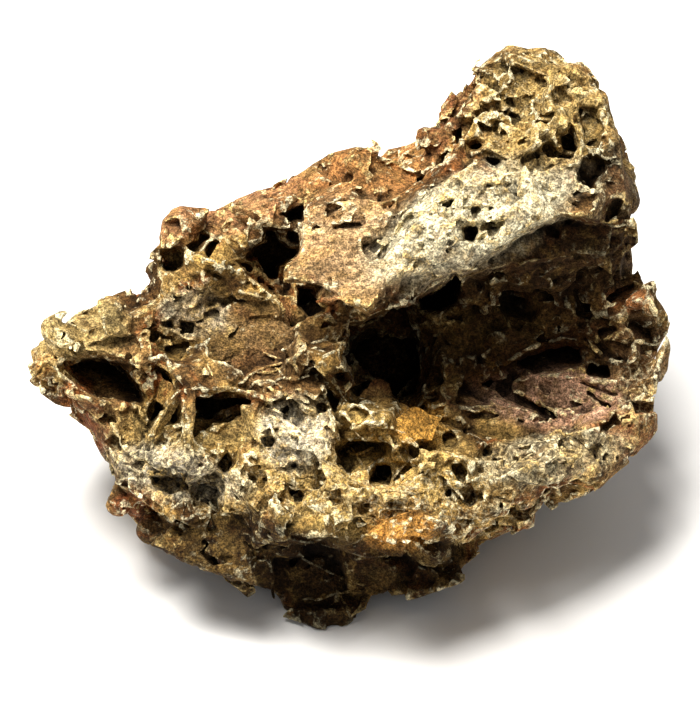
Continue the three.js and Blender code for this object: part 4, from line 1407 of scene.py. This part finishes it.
def laced(graph, colour, pale, unshaded):
    """A colour with painted shade in the pits of a crust, and with its pale threads."""
    crusted = graph.plus(graph.attribute("crust"), graph.noise_step("crust edge", "patch"))
    crusted = graph.step("crust", crusted)
    shift = graph.add("ShaderNodeTexNoise", {"Vector": graph.place, **LACE_SHIFT}, "Color")
    shift = graph.vector("SUBTRACT", {0: shift, 1: (0.5, 0.5, 0.5)})
    warped = graph.vector("ADD", {0: graph.place, 1: graph.scaled(shift, LACE_STRAY)})
    inputs = {"Vector": warped, "Scale": LACE_SCALE}
    lace = graph.add("ShaderNodeTexVoronoi", inputs, "Distance", feature="DISTANCE_TO_EDGE")
    # Painted shade: the pits of the crust's lace are darkened in colour
    painted_pit_shade = graph.times(graph.step("painted_pit_shade", lace), crusted)
    thread = graph.times(graph.step("thread", lace), crusted)
    thread = graph.times(graph.times(thread, unshaded), graph.noise_step("thread break", "crust"))
    colour = graph.mix(graph.times(painted_pit_shade, PIT_SHARE), colour, graph.scaled(colour, PIT_SHADE))
    return graph.mix(graph.times(thread, THREAD_SHARE), colour, pale)


def clay_finish(colours):
    """Dull clay stone: ochre, rust and umber, with pale crests, and with painted shade in its hollows,
    recesses and pits, partly darker stone.
    """
    material = bpy.data.materials.new(FINISH)
    material.use_nodes = True
    graph = Graph(material.node_tree)
    shader = material.node_tree.nodes["Principled BSDF"]
    tint_with_painted_light_and_shade = stained_tint(graph, colours)
    pale = pale_colour(graph, colours, tint_with_painted_light_and_shade)
    # Painted shade: the pale crests and threads fade where the skin lies deep in a recess
    unshaded = graph.step("unshaded", graph.attribute("depth"))
    colour = clay_colour(graph, colours, tint_with_painted_light_and_shade)
    colour = bleached(graph, colour, pale, unshaded)
    colour = laced(graph, colour, pale, unshaded)
    for name in ("grit", "sand"):
        colour = graph.scaled(colour, graph.noise_step(name, name))
    colour = graph.add("ShaderNodeHueSaturation", {"Saturation": SATURATION, "Color": colour})
    height = graph.plus(graph.noise["grit"], graph.times(graph.noise["sand"], SAND_HEIGHT))
    bump = graph.add("ShaderNodeBump", {"Height": height, "Strength": 1.0, "Distance": BUMP_HEIGHT})
    material.node_tree.links.new(colour, shader.inputs["Base Color"])
    material.node_tree.links.new(bump, shader.inputs["Normal"])
    shader.inputs["Roughness"].default_value = DULLNESS
    shader.inputs["Specular IOR Level"].default_value = GLOSS
    return material


def add_floor(stage):
    """Adds a plain pale floor."""
    mesh = bpy.data.meshes.new("floor")
    work = bmesh.new()
    bmesh.ops.create_grid(work, x_segments=1, y_segments=1, size=stage.floor_reach)
    work.to_mesh(mesh)
    work.free()
    paper = bpy.data.materials.new("floor")
    paper.use_nodes = True
    paper.node_tree.nodes["Principled BSDF"].inputs["Base Color"].default_value = stage.floor_colour
    mesh.materials.append(paper)
    placed("floor", mesh)


def add_light(scene, stage):
    """Adds the light of the room and the soft key light above the stone."""
    world = bpy.data.worlds.new("studio")
    world.use_nodes = True
    background = world.node_tree.nodes["Background"]
    background.inputs["Color"].default_value = (1, 1, 1, 1)
    background.inputs["Strength"].default_value = stage.room_light
    scene.world = world
    light = bpy.data.lights.new("key", "AREA")
    light.energy = stage.key_power
    light.size = stage.key_width
    light.color = stage.key_colour
    key = placed("key", light)
    key.location = stage.key_place
    key.rotation_euler = (Vector(KEY_AIM) - key.location).to_track_quat("-Z", "Y").to_euler()


def add_camera(scene):
    """Adds the camera in front of the show face."""
    lens = bpy.data.cameras.new("camera")
    lens.lens = lens.sensor_width * VIEW_DISTANCE / PICTURE_HEIGHT
    camera = placed("camera", lens)
    out = Vector(FACE_AXES[2])
    camera.location = Vector(FACE_MIDDLE * MM) + out * VIEW_DISTANCE * MM
    camera.rotation_euler = (-out).to_track_quat("-Z", "Y").to_euler()
    scene.camera = camera
    scene.view_settings.view_transform = "Standard"


def colour_property(name, description, colour):
    return FloatVectorProperty(
        name=name, description=description, subtype="COLOR", size=len(colour), min=0, max=1, default=colour
    )


def length_property(name, description, length):
    return FloatProperty(name=name, description=description, unit="LENGTH", min=0, default=length)


class StoneShape(bpy.types.PropertyGroup):
    """Sizes of the weathered stone."""

    voxel: length_property("Detail", "Finest detail that the surface keeps", 0.0005)


class StoneColours(bpy.types.PropertyGroup):
    """Colours of the clay stone."""

    umber: colour_property("Umber", "Darkest of the stone's own colours", (0.085, 0.045, 0.018, 1))
    brown: colour_property("Brown", "Most of the stone", (0.27, 0.16, 0.07, 1))
    ochre: colour_property("Ochre", "Yellow patches", (0.42, 0.27, 0.10, 1))
    rust: colour_property("Rust", "Red patches", (0.27, 0.11, 0.045, 1))
    cream: colour_property("Cream", "Pale crust of the crests", (0.80, 0.71, 0.47, 1))
    sand: colour_property("Sand", "Yellower crust of the crests", (0.62, 0.45, 0.20, 1))


class StoneStage(bpy.types.PropertyGroup):
    """Floor and light."""

    floor_reach: length_property("Floor reach", "How far the floor goes on each side of the stone", 3)
    floor_colour: colour_property("Floor", "Colour of the floor", (0.9, 0.9, 0.9, 1))
    room_light: FloatProperty(name="Room light", description="Light from all round", min=0, default=0.3)
    key_power: FloatProperty(name="Key power", description="Power of the key light", unit="POWER", default=20)
    key_width: length_property("Key width", "Width of the key light", 0.4)
    key_colour: colour_property("Key colour", "Colour of the key light", (1.0, 0.965, 0.91))
    key_place: FloatVectorProperty(
        name="Key place",
        description="Where the key light is",
        subtype="TRANSLATION",
        default=(-0.18, -0.1, 0.9),
    )


class STONE_OT_weather(bpy.types.Operator):
    """Makes the weathered stone in place of its plain solid"""

    bl_idname = "stone.weather"
    bl_label = "Weathered Stone"

    def execute(self, context):
        corners, triangles = merged_copy(NODE)
        block = Block(corners, triangles, context.scene.stone_shape.voxel / MM)
        weather(block)
        piece = surface_object(block)
        thin_out(piece)
        sharpen(piece.data)
        roughen_facets(piece.data)
        points = mesh_values(piece.data, "co") / MM
        crust = panel_value(points, *CRUST_PLACES)
        keep_values(piece.data, {**relief(block, points), "crust": crust})
        piece.data.materials.clear()
        piece.data.materials.append(clay_finish(context.scene.stone_colours))
        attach(piece, BODY)
        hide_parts(NODE)
        return {"FINISHED"}


class STONE_OT_flakes(bpy.types.Operator):
    """Stands the thin flakes on the show face"""

    bl_idname = "stone.flakes"
    bl_label = "Thin Flakes"

    def execute(self, context):
        skin = Skin(bpy.data.objects[PIECE])
        work = bmesh.new()
        for corners in FLAKES:
            add_flake(work, skin, corners)
        thin_piece("thin_flakes", work, FLAKE_RELIEF)
        return {"FINISHED"}


class STONE_OT_threads(bpy.types.Operator):
    """Lays the fine threads on the show face"""

    bl_idname = "stone.threads"
    bl_label = "Fine Threads"

    def execute(self, context):
        skin = Skin(bpy.data.objects[PIECE])
        work = bmesh.new()
        for number, steps in enumerate(THREADS):
            add_thread(work, skin, steps, number)
        thin_piece("fine_threads", work, THREAD_RELIEF)
        return {"FINISHED"}


class STONE_OT_stage(bpy.types.Operator):
    """Makes the floor, the light and the camera"""

    bl_idname = "stone.stage"
    bl_label = "Stage"

    def execute(self, context):
        scene = context.scene
        add_floor(scene.stone_stage)
        add_light(scene, scene.stone_stage)
        add_camera(scene)
        return {"FINISHED"}


class STONE_PT_panel(bpy.types.Panel):
    """Lists the stone's operators"""

    bl_idname = "STONE_PT_panel"
    bl_label = "Rock"
    bl_space_type = "VIEW_3D"
    bl_region_type = "UI"
    bl_category = "Rock"

    def draw(self, context):
        for operator in OPERATORS:
            self.layout.operator(operator.bl_idname)


OPERATORS = (STONE_OT_weather, STONE_OT_flakes, STONE_OT_threads, STONE_OT_stage)
CLASSES = (StoneShape, StoneColours, StoneStage, *OPERATORS, STONE_PT_panel)


def register():
    for kind in CLASSES:
        bpy.utils.register_class(kind)
    bpy.types.Scene.stone_shape = PointerProperty(type=StoneShape)
    bpy.types.Scene.stone_colours = PointerProperty(type=StoneColours)
    bpy.types.Scene.stone_stage = PointerProperty(type=StoneStage)


def unregister():
    del bpy.types.Scene.stone_stage
    del bpy.types.Scene.stone_colours
    del bpy.types.Scene.stone_shape
    for kind in reversed(CLASSES):
        bpy.utils.unregister_class(kind)


def main():
    register()
    bpy.ops.stone.weather()
    bpy.ops.stone.flakes()
    bpy.ops.stone.threads()
    bpy.ops.stone.stage()


if __name__ == "__main__":
    main()
